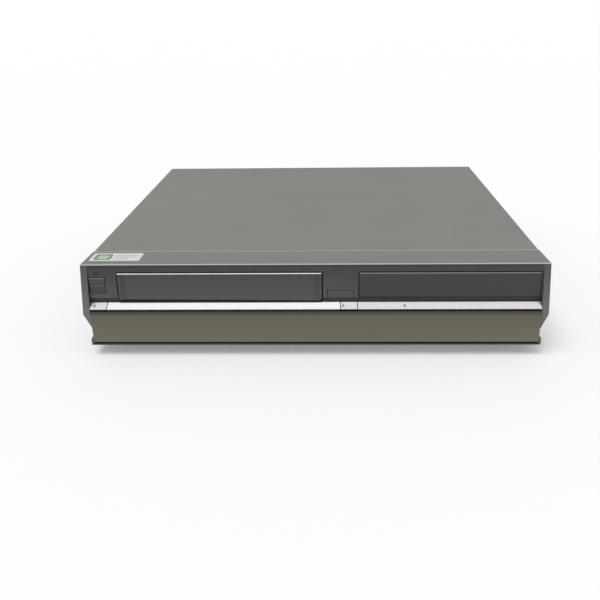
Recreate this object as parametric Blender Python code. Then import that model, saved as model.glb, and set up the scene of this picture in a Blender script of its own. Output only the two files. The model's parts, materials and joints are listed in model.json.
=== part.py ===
"""A silver disc and cassette recorder.

A slim metal case has a moulded front with a mirrored drop-down door under a bright sloping
strip, a cassette deck behind the left half and a disc drive behind the right half.
Metres, +Z up, the front towards -Y, the origin on the floor under the middle of the case.
"""
import math

import bmesh
import bpy
from mathutils import Matrix, Vector

# Fits between pieces
CLEARANCE = 0.0003
RUNNING = 0.0005
FLAP_GAP = 0.0008
STRIP_GAP = 0.0006
OVERRUN = 0.004

# Steps round the round pieces
ROUND_STEPS = 8
SMALL_STEPS = 12
TURNED_STEPS = 24
WIDE_STEPS = 32
DISC_STEPS = 48
SMOOTH_ANGLE = math.radians(30)

# What the machine takes
CASSETTE_WIDTH = 0.187
CASSETTE_DEPTH = 0.103
CASSETTE_HEIGHT = 0.025
DISC_DIAMETER = 0.120
DISC_PLAY = 0.002

# Front layout from left to right
LEFT_MARGIN = 0.033
FLAP_SIDE_PLAY = 0.0015
CENTRE_ZONE = 0.0334
TRAY_EDGE = 0.0045
TRAY_FRONT_MARGIN = 0.0148
RIGHT_MARGIN = 0.008

# Front layout from the floor up
FOOT_HEIGHT = 0.011
LIP_THICKNESS = 0.0018
DOOR_HEIGHT = 0.0323
LEDGE_EDGE = 0.002
LEDGE_RISE = 0.0044
FLAP_SILL = 0.0009
FLAP_TOP_PLAY = 0.003
TOP_RAIL = 0.008
TRAY_FRONT_HEIGHT = 0.0234

# Front profile from the door forward face back to the seam on the top
DOOR_LEAN = 0.0015
LEDGE_REACH = 0.006
UPPER_LEAN = 0.003
STRIP_DEPTH = 0.032

# Depth behind the front
DECK_LENGTH = 0.219
BOARD_GAP = 0.005
BOARD_DEPTH = 0.080
BOARD_TO_PANEL = 0.011
JACK_REACH = 0.0048

# Sheet metal and mouldings
COVER_SHEET = 0.001
CHASSIS_SHEET = 0.0012
PANEL_SHEET = 0.0012
DECK_SHEET = 0.0012
CARRIAGE_SHEET = 0.001
BOARD_THICKNESS = 0.0016
BEZEL_WALL = 0.0025
COVER_INSET = 0.0015

# Bezel details
DOOR_WALL = 0.0065
CHEEK = 0.002
CHEEK_HEIGHT = 0.0065
SLANT_DROP = 0.003
SLANT_RUN = 0.020
TOP_BAND = 0.002
RECESS_BACK = 0.032

# Door and flap
DOOR_THICKNESS = 0.0032
FLAP_THICKNESS = 0.0024
FLAP_PROUD = 0.0005
HINGE_PIN_RADIUS = 0.0008
HINGE_PIN_LENGTH = 0.0012

# Bright strip and its two buttons
STRIP_THICKNESS = 0.0015
EJECT_WIDTH = 0.0157
OPEN_BUTTON_WIDTH = 0.0152
OPEN_BUTTON_OFFSET = 0.0167
STEM_WIDTH = 0.002
STEM_LENGTH = 0.0035
STRIP_BUTTON_TRAVEL = 0.0008

# Power button and the two small windows
POWER_WIDTH = 0.0148
POWER_HEIGHT = 0.006
POWER_DEPTH = 0.008
POWER_PROUD = 0.0005
POWER_LEFT = 0.0068
POWER_DROP = 0.013
INDICATOR_HEIGHT = 0.0074
INDICATOR_DROP = 0.001
WINDOW_DEPTH = 0.002
RECEIVER_WIDTH = 0.024
RECEIVER_HEIGHT = 0.0068
RECEIVER_RISE = 0.0037

# Disc tray and its front
TRAY_PROUD = 0.001
TRAY_FRONT_THICKNESS = 0.003
TRAY_FLOOR_RISE = 0.003
TRAY_HEIGHT = 0.008
TRAY_RECESS = 0.003
TRAY_LIP = 0.008
TRAY_TAIL = 0.016
TRAY_SLOT_HALF = 0.019

# Drive frame and clamp bridge
DRIVE_WALL = 0.003
DRIVE_LEDGE = 0.004
DRIVE_FLOOR = 0.002
DRIVE_FLOOR_DROP = 0.004
DRIVE_WALL_RISE = 0.006
DRIVE_SETBACK = 0.0086
DRIVE_SPARE = 0.030
DRIVE_LEG = 0.008
DRIVE_FRONT_LEG_SETBACK = 0.030
BRIDGE_SHEET = 0.0015
BRIDGE_DEPTH = 0.026
CLAMP_NECK_RADIUS = 0.0085
CLAMP_DISC_RADIUS = 0.014
CLAMP_FLANGE_RADIUS = 0.012
CLAMP_DISC_HEIGHT = 0.002
CLAMP_FLANGE_HEIGHT = 0.0018
CLAMP_LIFT = 0.0022

# Traverse, motor, turntable and pickup
TRAVERSE_SHEET = 0.0025
TRAVERSE_RIM = 0.006
DRIVE_WINDOW_HALF = 0.052
DRIVE_WINDOW_FRONT = 0.028
DRIVE_WINDOW_BACK = 0.092
MOTOR_RADIUS = 0.014
MOTOR_HEIGHT = 0.003
SPINDLE_RADIUS = 0.0015
TURNTABLE_RADIUS = 0.0145
TURNTABLE_DROP = 0.0007
HUB_RADIUS = 0.0073
HUB_HEIGHT = 0.003
ROD_RADIUS = 0.0015
ROD_SPREAD = 0.021
ROD_HEIGHT = 0.0023
ROD_START = 0.021
ROD_RUN = 0.068
ROD_BLOCK = 0.004
ROD_BLOCK_HEIGHT = 0.0045
PICKUP_HALF = 0.026
PICKUP_LENGTH = 0.026
PICKUP_HEIGHT = 0.0046
LENS_HALF = 0.010
LENS_RISE = 0.0035

# Cassette deck
DECK_POST_HEIGHT = 0.0165
DECK_PLAY = 0.0008
CARRIAGE_PLAY = 0.001
CARRIAGE_LEDGE = 0.010
CARRIAGE_HEADROOM = 0.0015
CARRIAGE_TRAVEL = 0.030
SLIDE_SHEET = 0.001
SLIDE_BAR_DEPTH = 0.015
SLIDE_FOOT_GAP = 0.0025
SLIDE_SHORTENING = 0.006
LOADING_SHEET = 0.0012
LOADING_WINDOW_HALF = 0.080
LOADING_WINDOW_FRONT = 0.014
LOADING_BAR = 0.017
REEL_SPREAD = 0.046
REEL_BASE_RADIUS = 0.018
REEL_BASE_HEIGHT = 0.0027
REEL_HUB_RADIUS = 0.010
REEL_HUB_HEIGHT = 0.0125
REEL_POST_RADIUS = 0.002
REEL_FROM_BACK = 0.052
DRUM_RADIUS = 0.031
DRUM_TILT = math.radians(5.96)
DRUM_GAP_BEHIND = 0.013
DRUM_OFFSET = 0.010
DRUM_BASE_HEIGHT = 0.021
DRUM_HEAD_HEIGHT = 0.015
DRUM_CAP_RADIUS = 0.010
DRUM_CAP_HEIGHT = 0.004
CAPSTAN_OFFSET = 0.036
CAPSTAN_GAP_BEHIND = 0.009
CAPSTAN_RADIUS = 0.002
CAPSTAN_HEIGHT = 0.030
FLYWHEEL_RADIUS = 0.022
FLYWHEEL_HEIGHT = 0.009
FLYWHEEL_DROP = 0.0015
PINCH_RADIUS = 0.006
PINCH_HEIGHT = 0.018
PINCH_RISE = 0.010
PINCH_POST_RADIUS = 0.002
HEAD_BLOCK = 0.009
HEAD_BLOCK_HEIGHT = 0.024
HEAD_BLOCK_OFFSET = 0.024
HEAD_BLOCK_GAP_BEHIND = 0.014

# Control panel behind the door
PANEL_SETBACK = 0.013
PANEL_THICKNESS = 0.0025
KEY_WIDTH = 0.013
KEY_HEIGHT = 0.006
KEY_PROUD = 0.0015
KEY_DEPTH = 0.006
KEY_PITCH = 0.018
KEY_FIRST = 0.020
KEY_RISE = 0.015
BOARD_PEG = 0.0032
PEG_WIDTH = 0.006
PEG_INSET = 0.010
FRONT_BOARD_MARGIN = 0.006
DISPLAY_WIDTH = 0.100
DISPLAY_HEIGHT = 0.018
DISPLAY_DEPTH = 0.0054
DISPLAY_PROUD = 0.0003
DISPLAY_LEFT = 0.060
DISPLAY_RISE = 0.008
JACK_RADIUS = 0.0042
JACK_BORE_RADIUS = 0.0016
JACK_PITCH = 0.014
FRONT_JACK_RIGHT = 0.032
FRONT_JACK_MARGIN = 0.005
FRONT_JACK_COUNT = 3
FRONT_JACK_PROUD = 0.003

# Boards and rear connections
BOARD_POST_HEIGHT = 0.0055
POST_RADIUS = 0.003
BOARD_SIDE_GAP = 0.010
MAIN_BOARD_SHARE = 0.68
PSU_GAP = 0.010
PSU_DEPTH = 0.100
POST_INSET = 0.006
REAR_JACK_ROWS = 2
REAR_JACK_COLUMNS = 6
REAR_JACK_DEPTH = 0.015
REAR_JACK_CENTRE = -0.060
REAR_JACK_RISE = 0.010
TUNER_WIDTH = 0.040
TUNER_DEPTH = 0.060
TUNER_HEIGHT = 0.026
TUNER_LEFT = 0.015
AERIAL_RADIUS = 0.0047
AERIAL_SPREAD = 0.010
INLET_WIDTH = 0.019
INLET_HEIGHT = 0.014
INLET_DEPTH = 0.018
INLET_RIGHT = 0.018
INLET_POCKET_WALL = 0.0025
INLET_POCKET_DEPTH = 0.012
INLET_PROUD = 0.0015
INLET_PIN_RADIUS = 0.0011
INLET_PIN_SPREAD = 0.0035
INLET_PIN_LENGTH = 0.006
FAN_SIZE = 0.040
FAN_DEPTH = 0.010
FAN_BORE_RADIUS = 0.0185
FAN_HUB_RADIUS = 0.0075
FAN_STRUT_WIDTH = 0.002
FAN_STRUT_DEPTH = 0.0015
FAN_BLADE_COUNT = 5
FAN_BLADE_THICKNESS = 0.0009
FAN_BLADE_TILT = math.radians(40)
FAN_TIP_GAP = 0.001
FAN_RIGHT = 0.065
FAN_RISE = 0.026
GRILLE_SLOTS = 6
GRILLE_SLOT_SHARE = 0.55
TRANSFORMER_SIZE = (0.034, 0.028, 0.026)
TRANSFORMER_CORE = 0.006
TRANSFORMER_RIGHT = 0.030
TRANSFORMER_FRONT = 0.030
CAPACITOR_RADIUS = 0.009
CAPACITOR_HEIGHT = 0.022
CAPACITOR_LEFT = 0.020
CAPACITOR_FRONT = 0.025
HEAT_FIN = (0.030, 0.003, 0.020)
HEAT_FIN_FRONT = 0.055
HEAT_FIN_LEFT = 0.050
CHIP_SIZE = (0.028, 0.028, 0.003)
CHIP_LEFT = 0.140

# Case hardware
FLANGE_HEIGHT = 0.0235
COVER_FOOT_GAP = 0.0015
COVER_REAR_OVERLAP = 0.0013
FOOT_TOP_RADIUS = 0.014
FOOT_BOTTOM_RADIUS = 0.0125
FOOT_SIDE_INSET = 0.055
FOOT_FRONT_INSET = 0.015
FOOT_REAR_INSET = 0.036
SCREW_HEAD_RADIUS = 0.0035
SCREW_HEAD_HEIGHT = 0.0011
SCREW_SHANK_RADIUS = 0.0015
SCREW_SHANK_LENGTH = 0.006
SCREW_RISE = 0.019
SCREW_FRONT_INSET = 0.060
SCREW_REAR_INSET = 0.050
CHASSIS_SLOTS = 5
CHASSIS_SLOT_LENGTH = 0.030
CHASSIS_SLOT_WIDTH = 0.003

# Places worked out across the front
FLAP_OPENING_WIDTH = CASSETTE_WIDTH + 2 * FLAP_SIDE_PLAY
TRAY_WIDTH = DISC_DIAMETER + 2 * TRAY_EDGE
DRIVE_INNER = TRAY_WIDTH + 2 * RUNNING
DRIVE_WIDTH = DRIVE_INNER + 2 * DRIVE_WALL
TRAY_OPENING_WIDTH = DRIVE_WIDTH + 2 * TRAY_FRONT_MARGIN
CASE_WIDTH = LEFT_MARGIN + FLAP_OPENING_WIDTH + CENTRE_ZONE + TRAY_OPENING_WIDTH + RIGHT_MARGIN
HALF = CASE_WIDTH / 2
FLAP_LEFT = LEFT_MARGIN - HALF
FLAP_RIGHT = FLAP_LEFT + FLAP_OPENING_WIDTH
TRAY_LEFT = FLAP_RIGHT + CENTRE_ZONE
TRAY_RIGHT = HALF - RIGHT_MARGIN
DECK_X = (FLAP_LEFT + FLAP_RIGHT) / 2
DRIVE_X = (TRAY_LEFT + TRAY_RIGHT) / 2
DOOR_HALF = HALF - DOOR_WALL

# Places worked out from the floor up
LIP_TOP = FOOT_HEIGHT + LIP_THICKNESS
DOOR_BOTTOM = LIP_TOP + CLEARANCE
DOOR_TOP = DOOR_BOTTOM + DOOR_HEIGHT
NOSE_BOTTOM = DOOR_TOP + CLEARANCE
LEDGE_FRONT_Z = NOSE_BOTTOM + LEDGE_EDGE
LEDGE_BACK_Z = LEDGE_FRONT_Z + LEDGE_RISE
SILL_Z = LEDGE_BACK_Z + FLAP_SILL
LINTEL_Z = SILL_Z + CASSETTE_HEIGHT + FLAP_TOP_PLAY
CASE_TOP = LINTEL_Z + TOP_RAIL
TRAY_OPENING_BOTTOM = LINTEL_Z - TRAY_FRONT_HEIGHT - 2 * CLEARANCE
CHASSIS_BOTTOM = FOOT_HEIGHT + CLEARANCE
CHASSIS_TOP = CHASSIS_BOTTOM + CHASSIS_SHEET

# Places worked out from front to back
CASE_FRONT_PART = DOOR_LEAN + LEDGE_REACH + UPPER_LEAN + STRIP_DEPTH
CASE_DEPTH = (CASE_FRONT_PART + RUNNING + DECK_LENGTH + BOARD_GAP + BOARD_DEPTH
              + BOARD_TO_PANEL + PANEL_SHEET + JACK_REACH)
FRONT_Y = -CASE_DEPTH / 2
LEDGE_FRONT_Y = FRONT_Y + DOOR_LEAN
LEDGE_BACK_Y = LEDGE_FRONT_Y + LEDGE_REACH
TOP_EDGE_Y = LEDGE_BACK_Y + UPPER_LEAN
SEAM_Y = TOP_EDGE_Y + STRIP_DEPTH
DECK_FRONT_Y = SEAM_Y + RUNNING
DECK_BACK_Y = DECK_FRONT_Y + DECK_LENGTH
BOARD_FRONT_Y = DECK_BACK_Y + BOARD_GAP
BOARD_BACK_Y = BOARD_FRONT_Y + BOARD_DEPTH
PANEL_Y = BOARD_BACK_Y + BOARD_TO_PANEL
PANEL_BACK_Y = PANEL_Y + PANEL_SHEET
REAR_Y = PANEL_BACK_Y + JACK_REACH

# The control panel and the deck
PANEL_FRONT_Y = FRONT_Y + PANEL_SETBACK
PANEL_REAR_Y = PANEL_FRONT_Y + PANEL_THICKNESS
PANEL_TOP = DOOR_TOP
DECK_BOTTOM = CHASSIS_TOP + DECK_POST_HEIGHT + CLEARANCE
DECK_TOP = DECK_BOTTOM + DECK_SHEET
CARRIAGE_INNER = CASSETTE_WIDTH / 2 + CARRIAGE_PLAY
CARRIAGE_HALF = CARRIAGE_INNER + CARRIAGE_SHEET
SLIDE_HALF = CARRIAGE_HALF + RUNNING + SLIDE_SHEET
LOADING_HALF = SLIDE_HALF + RUNNING + LOADING_SHEET
DECK_HALF = LOADING_HALF + DECK_PLAY
CARRIAGE_TOP = SILL_Z + CARRIAGE_SHEET + CASSETTE_HEIGHT + CARRIAGE_HEADROOM + CARRIAGE_SHEET
SLIDE_TOP = CARRIAGE_TOP + RUNNING + SLIDE_SHEET
LOADING_TOP = SLIDE_TOP + RUNNING + LOADING_SHEET
CARRIAGE_BACK_Y = DECK_FRONT_Y + CASSETTE_DEPTH + CARRIAGE_SHEET
CASSETTE_IN_BACK_Y = CARRIAGE_BACK_Y + CARRIAGE_TRAVEL
REEL_Y = CASSETTE_IN_BACK_Y - REEL_FROM_BACK
DRUM_X = DECK_X - DRUM_OFFSET
DRUM_Y = CASSETTE_IN_BACK_Y + DRUM_GAP_BEHIND + DRUM_RADIUS
CAPSTAN_X = DECK_X + CAPSTAN_OFFSET
CAPSTAN_Y = CASSETTE_IN_BACK_Y + CAPSTAN_GAP_BEHIND
PINCH_Y = CAPSTAN_Y + CAPSTAN_RADIUS + PINCH_RADIUS + RUNNING
DRUM_AXIS = Vector((0, math.sin(DRUM_TILT), math.cos(DRUM_TILT)))

# The drive
TRAY_BOTTOM = TRAY_OPENING_BOTTOM + TRAY_FLOOR_RISE
TRAY_TOP = TRAY_BOTTOM + TRAY_HEIGHT
DISC_SEAT = TRAY_TOP - TRAY_RECESS
TRAY_FRONT_Y = TOP_EDGE_Y + TRAY_FRONT_THICKNESS + CLEARANCE
DISC_Y = TRAY_FRONT_Y + TRAY_LIP + DISC_DIAMETER / 2 + DISC_PLAY
TRAY_BACK_Y = DISC_Y + DISC_DIAMETER / 2 + DISC_PLAY + TRAY_TAIL
DRIVE_FRONT_Y = TRAY_FRONT_Y + DRIVE_SETBACK
DRIVE_BACK_Y = TRAY_BACK_Y + DRIVE_SPARE
DRIVE_FLOOR_TOP = TRAY_BOTTOM - DRIVE_FLOOR_DROP
DRIVE_FLOOR_BOTTOM = DRIVE_FLOOR_TOP - DRIVE_FLOOR
DRIVE_TOP = TRAY_TOP + DRIVE_WALL_RISE
TRAVERSE_TOP = DRIVE_FLOOR_BOTTOM - CLEARANCE
ROD_Z = TRAVERSE_TOP + ROD_HEIGHT
ROD_FRONT_Y = DISC_Y + ROD_START
PICKUP_Y = ROD_FRONT_Y + ROD_BLOCK + RUNNING
BRIDGE_BOTTOM = DRIVE_TOP + CLEARANCE
BRIDGE_TOP = BRIDGE_BOTTOM + BRIDGE_SHEET

# Boards and rear panel
BOARD_BOTTOM = CHASSIS_TOP + BOARD_POST_HEIGHT + CLEARANCE
BOARD_TOP = BOARD_BOTTOM + BOARD_THICKNESS
INNER_HALF = HALF - COVER_INSET - COVER_SHEET - CLEARANCE
BOARD_LEFT = BOARD_SIDE_GAP - HALF
MAIN_BOARD_RIGHT = BOARD_LEFT + MAIN_BOARD_SHARE * (CASE_WIDTH - 2 * BOARD_SIDE_GAP)
PSU_LEFT = MAIN_BOARD_RIGHT + PSU_GAP
PSU_RIGHT = HALF - BOARD_SIDE_GAP
PSU_FRONT_Y = BOARD_BACK_Y - PSU_DEPTH
CONNECTOR_INNER_Y = PANEL_Y - CLEARANCE

FINISHES = {
    "silver_plastic": ((0.24, 0.24, 0.23), 0.42, 0.35),
    "silver_sheet": ((0.25, 0.25, 0.23), 0.45, 0.55),
    "bright_strip": ((0.80, 0.81, 0.83), 0.25, 0.7),
    "mirror": ((0.55, 0.54, 0.50), 0.05, 1.0),
    "zinc_sheet": ((0.55, 0.56, 0.56), 0.35, 0.9),
    "black_plastic": ((0.02, 0.02, 0.022), 0.5, 0.0),
    "smoked_window": ((0.01, 0.01, 0.012), 0.12, 0.0),
    "green_board": ((0.02, 0.12, 0.05), 0.5, 0.0),
    "steel": ((0.6, 0.6, 0.6), 0.25, 1.0),
    "rubber": ((0.02, 0.02, 0.02), 0.85, 0.0),
    "grey_plastic": ((0.12, 0.12, 0.13), 0.5, 0.0),
    "copper": ((0.7, 0.35, 0.2), 0.4, 0.8),
}


def clear_scene():
    """Remove what a new file holds."""
    for obj in list(bpy.data.objects):
        bpy.data.objects.remove(obj, do_unlink=True)


def finish(name):
    """Return the named finish as a material, made when it is first asked for."""
    if name in bpy.data.materials:
        return bpy.data.materials[name]
    colour, roughness, metallic = FINISHES[name]
    material = bpy.data.materials.new(name)
    material.use_nodes = True
    shader = material.node_tree.nodes["Principled BSDF"]
    shader.inputs["Base Color"].default_value = (*colour, 1)
    shader.inputs["Roughness"].default_value = roughness
    shader.inputs["Metallic"].default_value = metallic
    return material


def place_mesh(name, bm, finish_name, origin):
    """Make an object of a bmesh given in world places, with its origin at a given point."""
    bmesh.ops.recalc_face_normals(bm, faces=bm.faces)
    bmesh.ops.translate(bm, verts=bm.verts, vec=-Vector(origin))
    mesh = bpy.data.meshes.new(name)
    bm.to_mesh(mesh)
    bm.free()
    mesh.materials.append(finish(finish_name))
    obj = bpy.data.objects.new(name, mesh)
    obj.location = origin
    bpy.context.collection.objects.link(obj)
    return obj


def add_box(bm, low, high):
    """Add a box between two corners to a bmesh and return its vertices."""
    size = Vector(high) - Vector(low)
    middle = (Vector(high) + Vector(low)) / 2
    matrix = Matrix.Translation(middle) @ Matrix.Diagonal((*size, 1))
    return bmesh.ops.create_cube(bm, size=1, matrix=matrix)["verts"]


def block(name, low, high, finish_name, origin=(0, 0, 0)):
    """A plain block between two corners."""
    bm = bmesh.new()
    add_box(bm, low, high)
    return place_mesh(name, bm, finish_name, origin)


def blocks(name, corners, finish_name):
    """Several blocks that stay clear of each other, as one cutting or joining shape."""
    bm = bmesh.new()
    for low, high in corners:
        add_box(bm, low, high)
    return place_mesh(name, bm, finish_name, (0, 0, 0))


def add_prism(bm, outline, axis, start, end):
    """Extrude an outline along X, Y or Z; it is (y, z), (x, z) or (x, y) in turn."""
    order = {"X": (2, 0, 1), "Y": (0, 2, 1), "Z": (0, 1, 2)}[axis]
    rows = []
    for along in (start, end):
        row = []
        for first, second in outline:
            values = (first, second, along)
            row.append(bm.verts.new(tuple(values[i] for i in order)))
        rows.append(row)
    bm.faces.new(rows[0])
    bm.faces.new(rows[1])
    count = len(outline)
    for i in range(count):
        j = (i + 1) % count
        bm.faces.new((rows[0][i], rows[0][j], rows[1][j], rows[1][i]))


def prism(name, outline, axis, start, end, finish_name, origin=(0, 0, 0)):
    """An outline extruded along one axis."""
    bm = bmesh.new()
    add_prism(bm, outline, axis, start, end)
    return place_mesh(name, bm, finish_name, origin)


def add_turned(bm, profile, centre, direction, steps):
    """Turn a closed profile of (radius, height) points about a direction through a centre."""
    turn = Vector((0, 0, 1)).rotation_difference(Vector(direction)).to_matrix()
    rings = []
    for radius, height in profile:
        if radius == 0:
            rings.append([bm.verts.new(Vector(centre) + turn @ Vector((0, 0, height)))])
            continue
        ring = []
        for step in range(steps):
            angle = math.tau * step / steps
            point = Vector((radius * math.cos(angle), radius * math.sin(angle), height))
            ring.append(bm.verts.new(Vector(centre) + turn @ point))
        rings.append(ring)
    for i, lower in enumerate(rings):
        upper = rings[(i + 1) % len(rings)]
        if len(lower) == 1 and len(upper) == 1:
            continue
        for step in range(steps):
            after = (step + 1) % steps
            corners = [lower[step % len(lower)], lower[after % len(lower)],
                       upper[after % len(upper)], upper[step % len(upper)]]
            unique = list(dict.fromkeys(corners))
            bm.faces.new(unique)


def turned(name, profile, centre, direction, steps, finish_name):
    """A turned piece with its origin on its axis."""
    bm = bmesh.new()
    add_turned(bm, profile, centre, direction, steps)
    obj = place_mesh(name, bm, finish_name, centre)
    obj.data.shade_smooth()
    obj.data.set_sharp_from_angle(angle=SMOOTH_ANGLE)
    return obj


def rod_profile(radius, length):
    """The profile of a plain cylinder that starts at height zero."""
    return [(0, 0), (radius, 0), (radius, length), (0, length)]


def ring_profile(inner, outer, length):
    """The profile of a plain tube that starts at height zero."""
    return [(inner, 0), (outer, 0), (outer, length), (inner, length)]


def rods(name, centres, direction, radius, length, steps, finish_name):
    """Several equal cylinders that stay clear of each other, as one shape."""
    bm = bmesh.new()
    for centre in centres:
        add_turned(bm, rod_profile(radius, length), centre, direction, steps)
    return place_mesh(name, bm, finish_name, (0, 0, 0))


def combine(target, tool, operation):
    """Cut a hidden tool from a piece, or join it on."""
    tool.hide_render = True
    tool.display_type = "WIRE"
    modifier = target.modifiers.new(tool.name, "BOOLEAN")
    modifier.operation = operation
    modifier.solver = "EXACT"
    modifier.object = tool


def cut(target, tool):
    """Take a hidden shape away from a piece."""
    combine(target, tool, "DIFFERENCE")


def join(target, tool):
    """Add a hidden shape to a piece."""
    combine(target, tool, "UNION")


def face_y(z):
    """The front of the leaning upper face at a height."""
    return TOP_EDGE_Y - UPPER_LEAN * (CASE_TOP - z) / (CASE_TOP - LEDGE_BACK_Z)


def face_outline(low_z, high_z, proud, back):
    """A slice of the upper face: proud of it at the front and so far behind it at the back."""
    return [(face_y(low_z) - proud, low_z), (face_y(high_z) - proud, high_z),
            (face_y(high_z) + back, high_z), (face_y(low_z) + back, low_z)]


def swinging_outline(pivot, free_end, thickness):
    """A panel from its pivot to its free end, with a full round edge about the pivot."""
    along = Vector(free_end) - Vector(pivot)
    along.normalize()
    side = Vector((-along.y, along.x)) * thickness / 2
    points = [Vector(free_end) - side, Vector(free_end) + side]
    for step in range(ROUND_STEPS + 1):
        angle = math.pi * step / ROUND_STEPS
        points.append(Vector(pivot) + side * math.cos(angle) - along * math.sin(angle) * thickness / 2)
    return [tuple(point) for point in points]


def ledge_outline(start, end, top_depth, bottom_depth):
    """A slice of the sloping ledge, by distances down its slope and depths below its surface."""
    back = Vector((LEDGE_BACK_Y, LEDGE_BACK_Z))
    slope = Vector((LEDGE_FRONT_Y, LEDGE_FRONT_Z)) - back
    slope.normalize()
    inward = Vector((-slope.y, slope.x))
    if inward.y > 0:
        inward.negate()
    corners = [(start, top_depth), (end, top_depth), (end, bottom_depth), (start, bottom_depth)]
    return [tuple(back + slope * along + inward * depth) for along, depth in corners]


LEDGE_LENGTH = math.hypot(LEDGE_REACH, LEDGE_RISE)
DOOR_PIVOT = (FRONT_Y + DOOR_THICKNESS / 2, DOOR_BOTTOM + DOOR_THICKNESS / 2)
FLAP_PIVOT_Z = LINTEL_Z - CLEARANCE - FLAP_THICKNESS / 2
FLAP_PIVOT = (face_y(FLAP_PIVOT_Z) - FLAP_PROUD + FLAP_THICKNESS / 2, FLAP_PIVOT_Z)
OPEN_BUTTON_LEFT = TRAY_LEFT - OPEN_BUTTON_OFFSET
STRIP_SPANS = {
    "cassette_eject_button": (-DOOR_HALF + CLEARANCE, EJECT_WIDTH - DOOR_HALF),
    "trim_strip_left": (EJECT_WIDTH - DOOR_HALF + STRIP_GAP, OPEN_BUTTON_LEFT - STRIP_GAP),
    "disc_open_button": (OPEN_BUTTON_LEFT, OPEN_BUTTON_LEFT + OPEN_BUTTON_WIDTH),
    "trim_strip_right": (OPEN_BUTTON_LEFT + OPEN_BUTTON_WIDTH + STRIP_GAP, DOOR_HALF - CLEARANCE),
}
STRIP_BUTTONS = ("cassette_eject_button", "disc_open_button")
POWER_X = POWER_LEFT - HALF
POWER_TOP = CASE_TOP - POWER_DROP
POWER_BOTTOM = POWER_TOP - POWER_HEIGHT
INDICATOR_TOP = POWER_BOTTOM - INDICATOR_DROP
INDICATOR_BOTTOM = INDICATOR_TOP - INDICATOR_HEIGHT
RECEIVER_X = (FLAP_RIGHT + TRAY_LEFT - RECEIVER_WIDTH) / 2
RECEIVER_Z = SILL_Z + RECEIVER_RISE
JACK_SIDE = REAR_JACK_COLUMNS * JACK_PITCH


def bezel_shell():
    """The moulded front: a side wall profile carried across the case, hollowed from behind."""
    slant_z = DOOR_TOP - SLANT_DROP
    slant_foot = LEDGE_FRONT_Y + SLANT_RUN
    outer = [(SEAM_Y, CASE_TOP), (TOP_EDGE_Y, CASE_TOP), (LEDGE_FRONT_Y, slant_z),
             (slant_foot, FOOT_HEIGHT), (SEAM_Y, FOOT_HEIGHT)]
    bezel = prism("front_bezel", outer, "X", -HALF, HALF, "silver_plastic")
    wall = BEZEL_WALL
    inner = [(SEAM_Y + OVERRUN, CASE_TOP - wall), (TOP_EDGE_Y + wall, CASE_TOP - wall),
             (LEDGE_BACK_Y + wall, LEDGE_BACK_Z), (LEDGE_BACK_Y + wall, slant_z),
             (slant_foot + wall, FOOT_HEIGHT + wall), (SEAM_Y + OVERRUN, FOOT_HEIGHT + wall)]
    cut(bezel, prism("bezel_hollow", inner, "X", wall - HALF, HALF - wall, "grey_plastic"))
    return bezel


def bezel_face(bezel):
    """Set the upper face back between the side walls and seat the sloping strip below it."""
    depth = STRIP_THICKNESS + CLEARANCE
    seat = ledge_outline(0, LEDGE_LENGTH, depth, depth)
    band_z = CASE_TOP - TOP_BAND
    front = FRONT_Y - OVERRUN
    outline = [(face_y(band_z), band_z), (LEDGE_BACK_Y, LEDGE_BACK_Z), seat[0], seat[1],
               (front, seat[1][1]), (front, band_z)]
    cut(bezel, prism("bezel_set_back", outline, "X", -DOOR_HALF, DOOR_HALF, "grey_plastic"))


def bezel_door_bay(bezel):
    """Open the lower half for the door, and add the lip and its cheeks with the pin holes."""
    bay_back = FRONT_Y + RECESS_BACK
    cut(bezel, block("bezel_bay", (-DOOR_HALF, FRONT_Y - OVERRUN, LIP_TOP),
                     (DOOR_HALF, bay_back, NOSE_BOTTOM), "grey_plastic"))
    join(bezel, block("bezel_lip", (-DOOR_HALF - CHEEK, FRONT_Y, FOOT_HEIGHT),
                      (DOOR_HALF + CHEEK, bay_back, LIP_TOP), "grey_plastic"))
    cheek_back = FRONT_Y + RECESS_BACK / 2
    for side in (-1, 1):
        inner_x = side * DOOR_HALF
        outer_x = side * (DOOR_HALF + CHEEK)
        low = (min(inner_x, outer_x), FRONT_Y, FOOT_HEIGHT)
        high = (max(inner_x, outer_x), cheek_back, FOOT_HEIGHT + CHEEK_HEIGHT)
        join(bezel, block(f"bezel_cheek_{side + 1}", low, high, "grey_plastic"))
    reach = DOOR_HALF + HINGE_PIN_LENGTH + CLEARANCE
    cut(bezel, rods("bezel_pin_holes", [(-reach, *DOOR_PIVOT)], (1, 0, 0),
                    HINGE_PIN_RADIUS + CLEARANCE, 2 * reach, ROUND_STEPS, "grey_plastic"))


def bezel_openings(bezel):
    """Cut the cassette slot, the tray opening, the power button hole and both windows."""
    spans = {
        "flap_opening": (FLAP_LEFT, FLAP_RIGHT, SILL_Z, LINTEL_Z),
        "tray_opening": (TRAY_LEFT, TRAY_RIGHT, TRAY_OPENING_BOTTOM, LINTEL_Z),
        "power_opening": (POWER_X - CLEARANCE, POWER_X + POWER_WIDTH + CLEARANCE,
                          POWER_BOTTOM - CLEARANCE, POWER_TOP + CLEARANCE),
        "indicator_opening": (POWER_X - CLEARANCE, POWER_X + POWER_WIDTH + CLEARANCE,
                              INDICATOR_BOTTOM - CLEARANCE, INDICATOR_TOP + CLEARANCE),
        "receiver_opening": (RECEIVER_X - CLEARANCE, RECEIVER_X + RECEIVER_WIDTH + CLEARANCE,
                             RECEIVER_Z - CLEARANCE, RECEIVER_Z + RECEIVER_HEIGHT + CLEARANCE),
    }
    for name, (left, right, low, high) in spans.items():
        outline = face_outline(low, high, OVERRUN, 2 * OVERRUN)
        cut(bezel, prism(name, outline, "X", left, right, "grey_plastic"))


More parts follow.
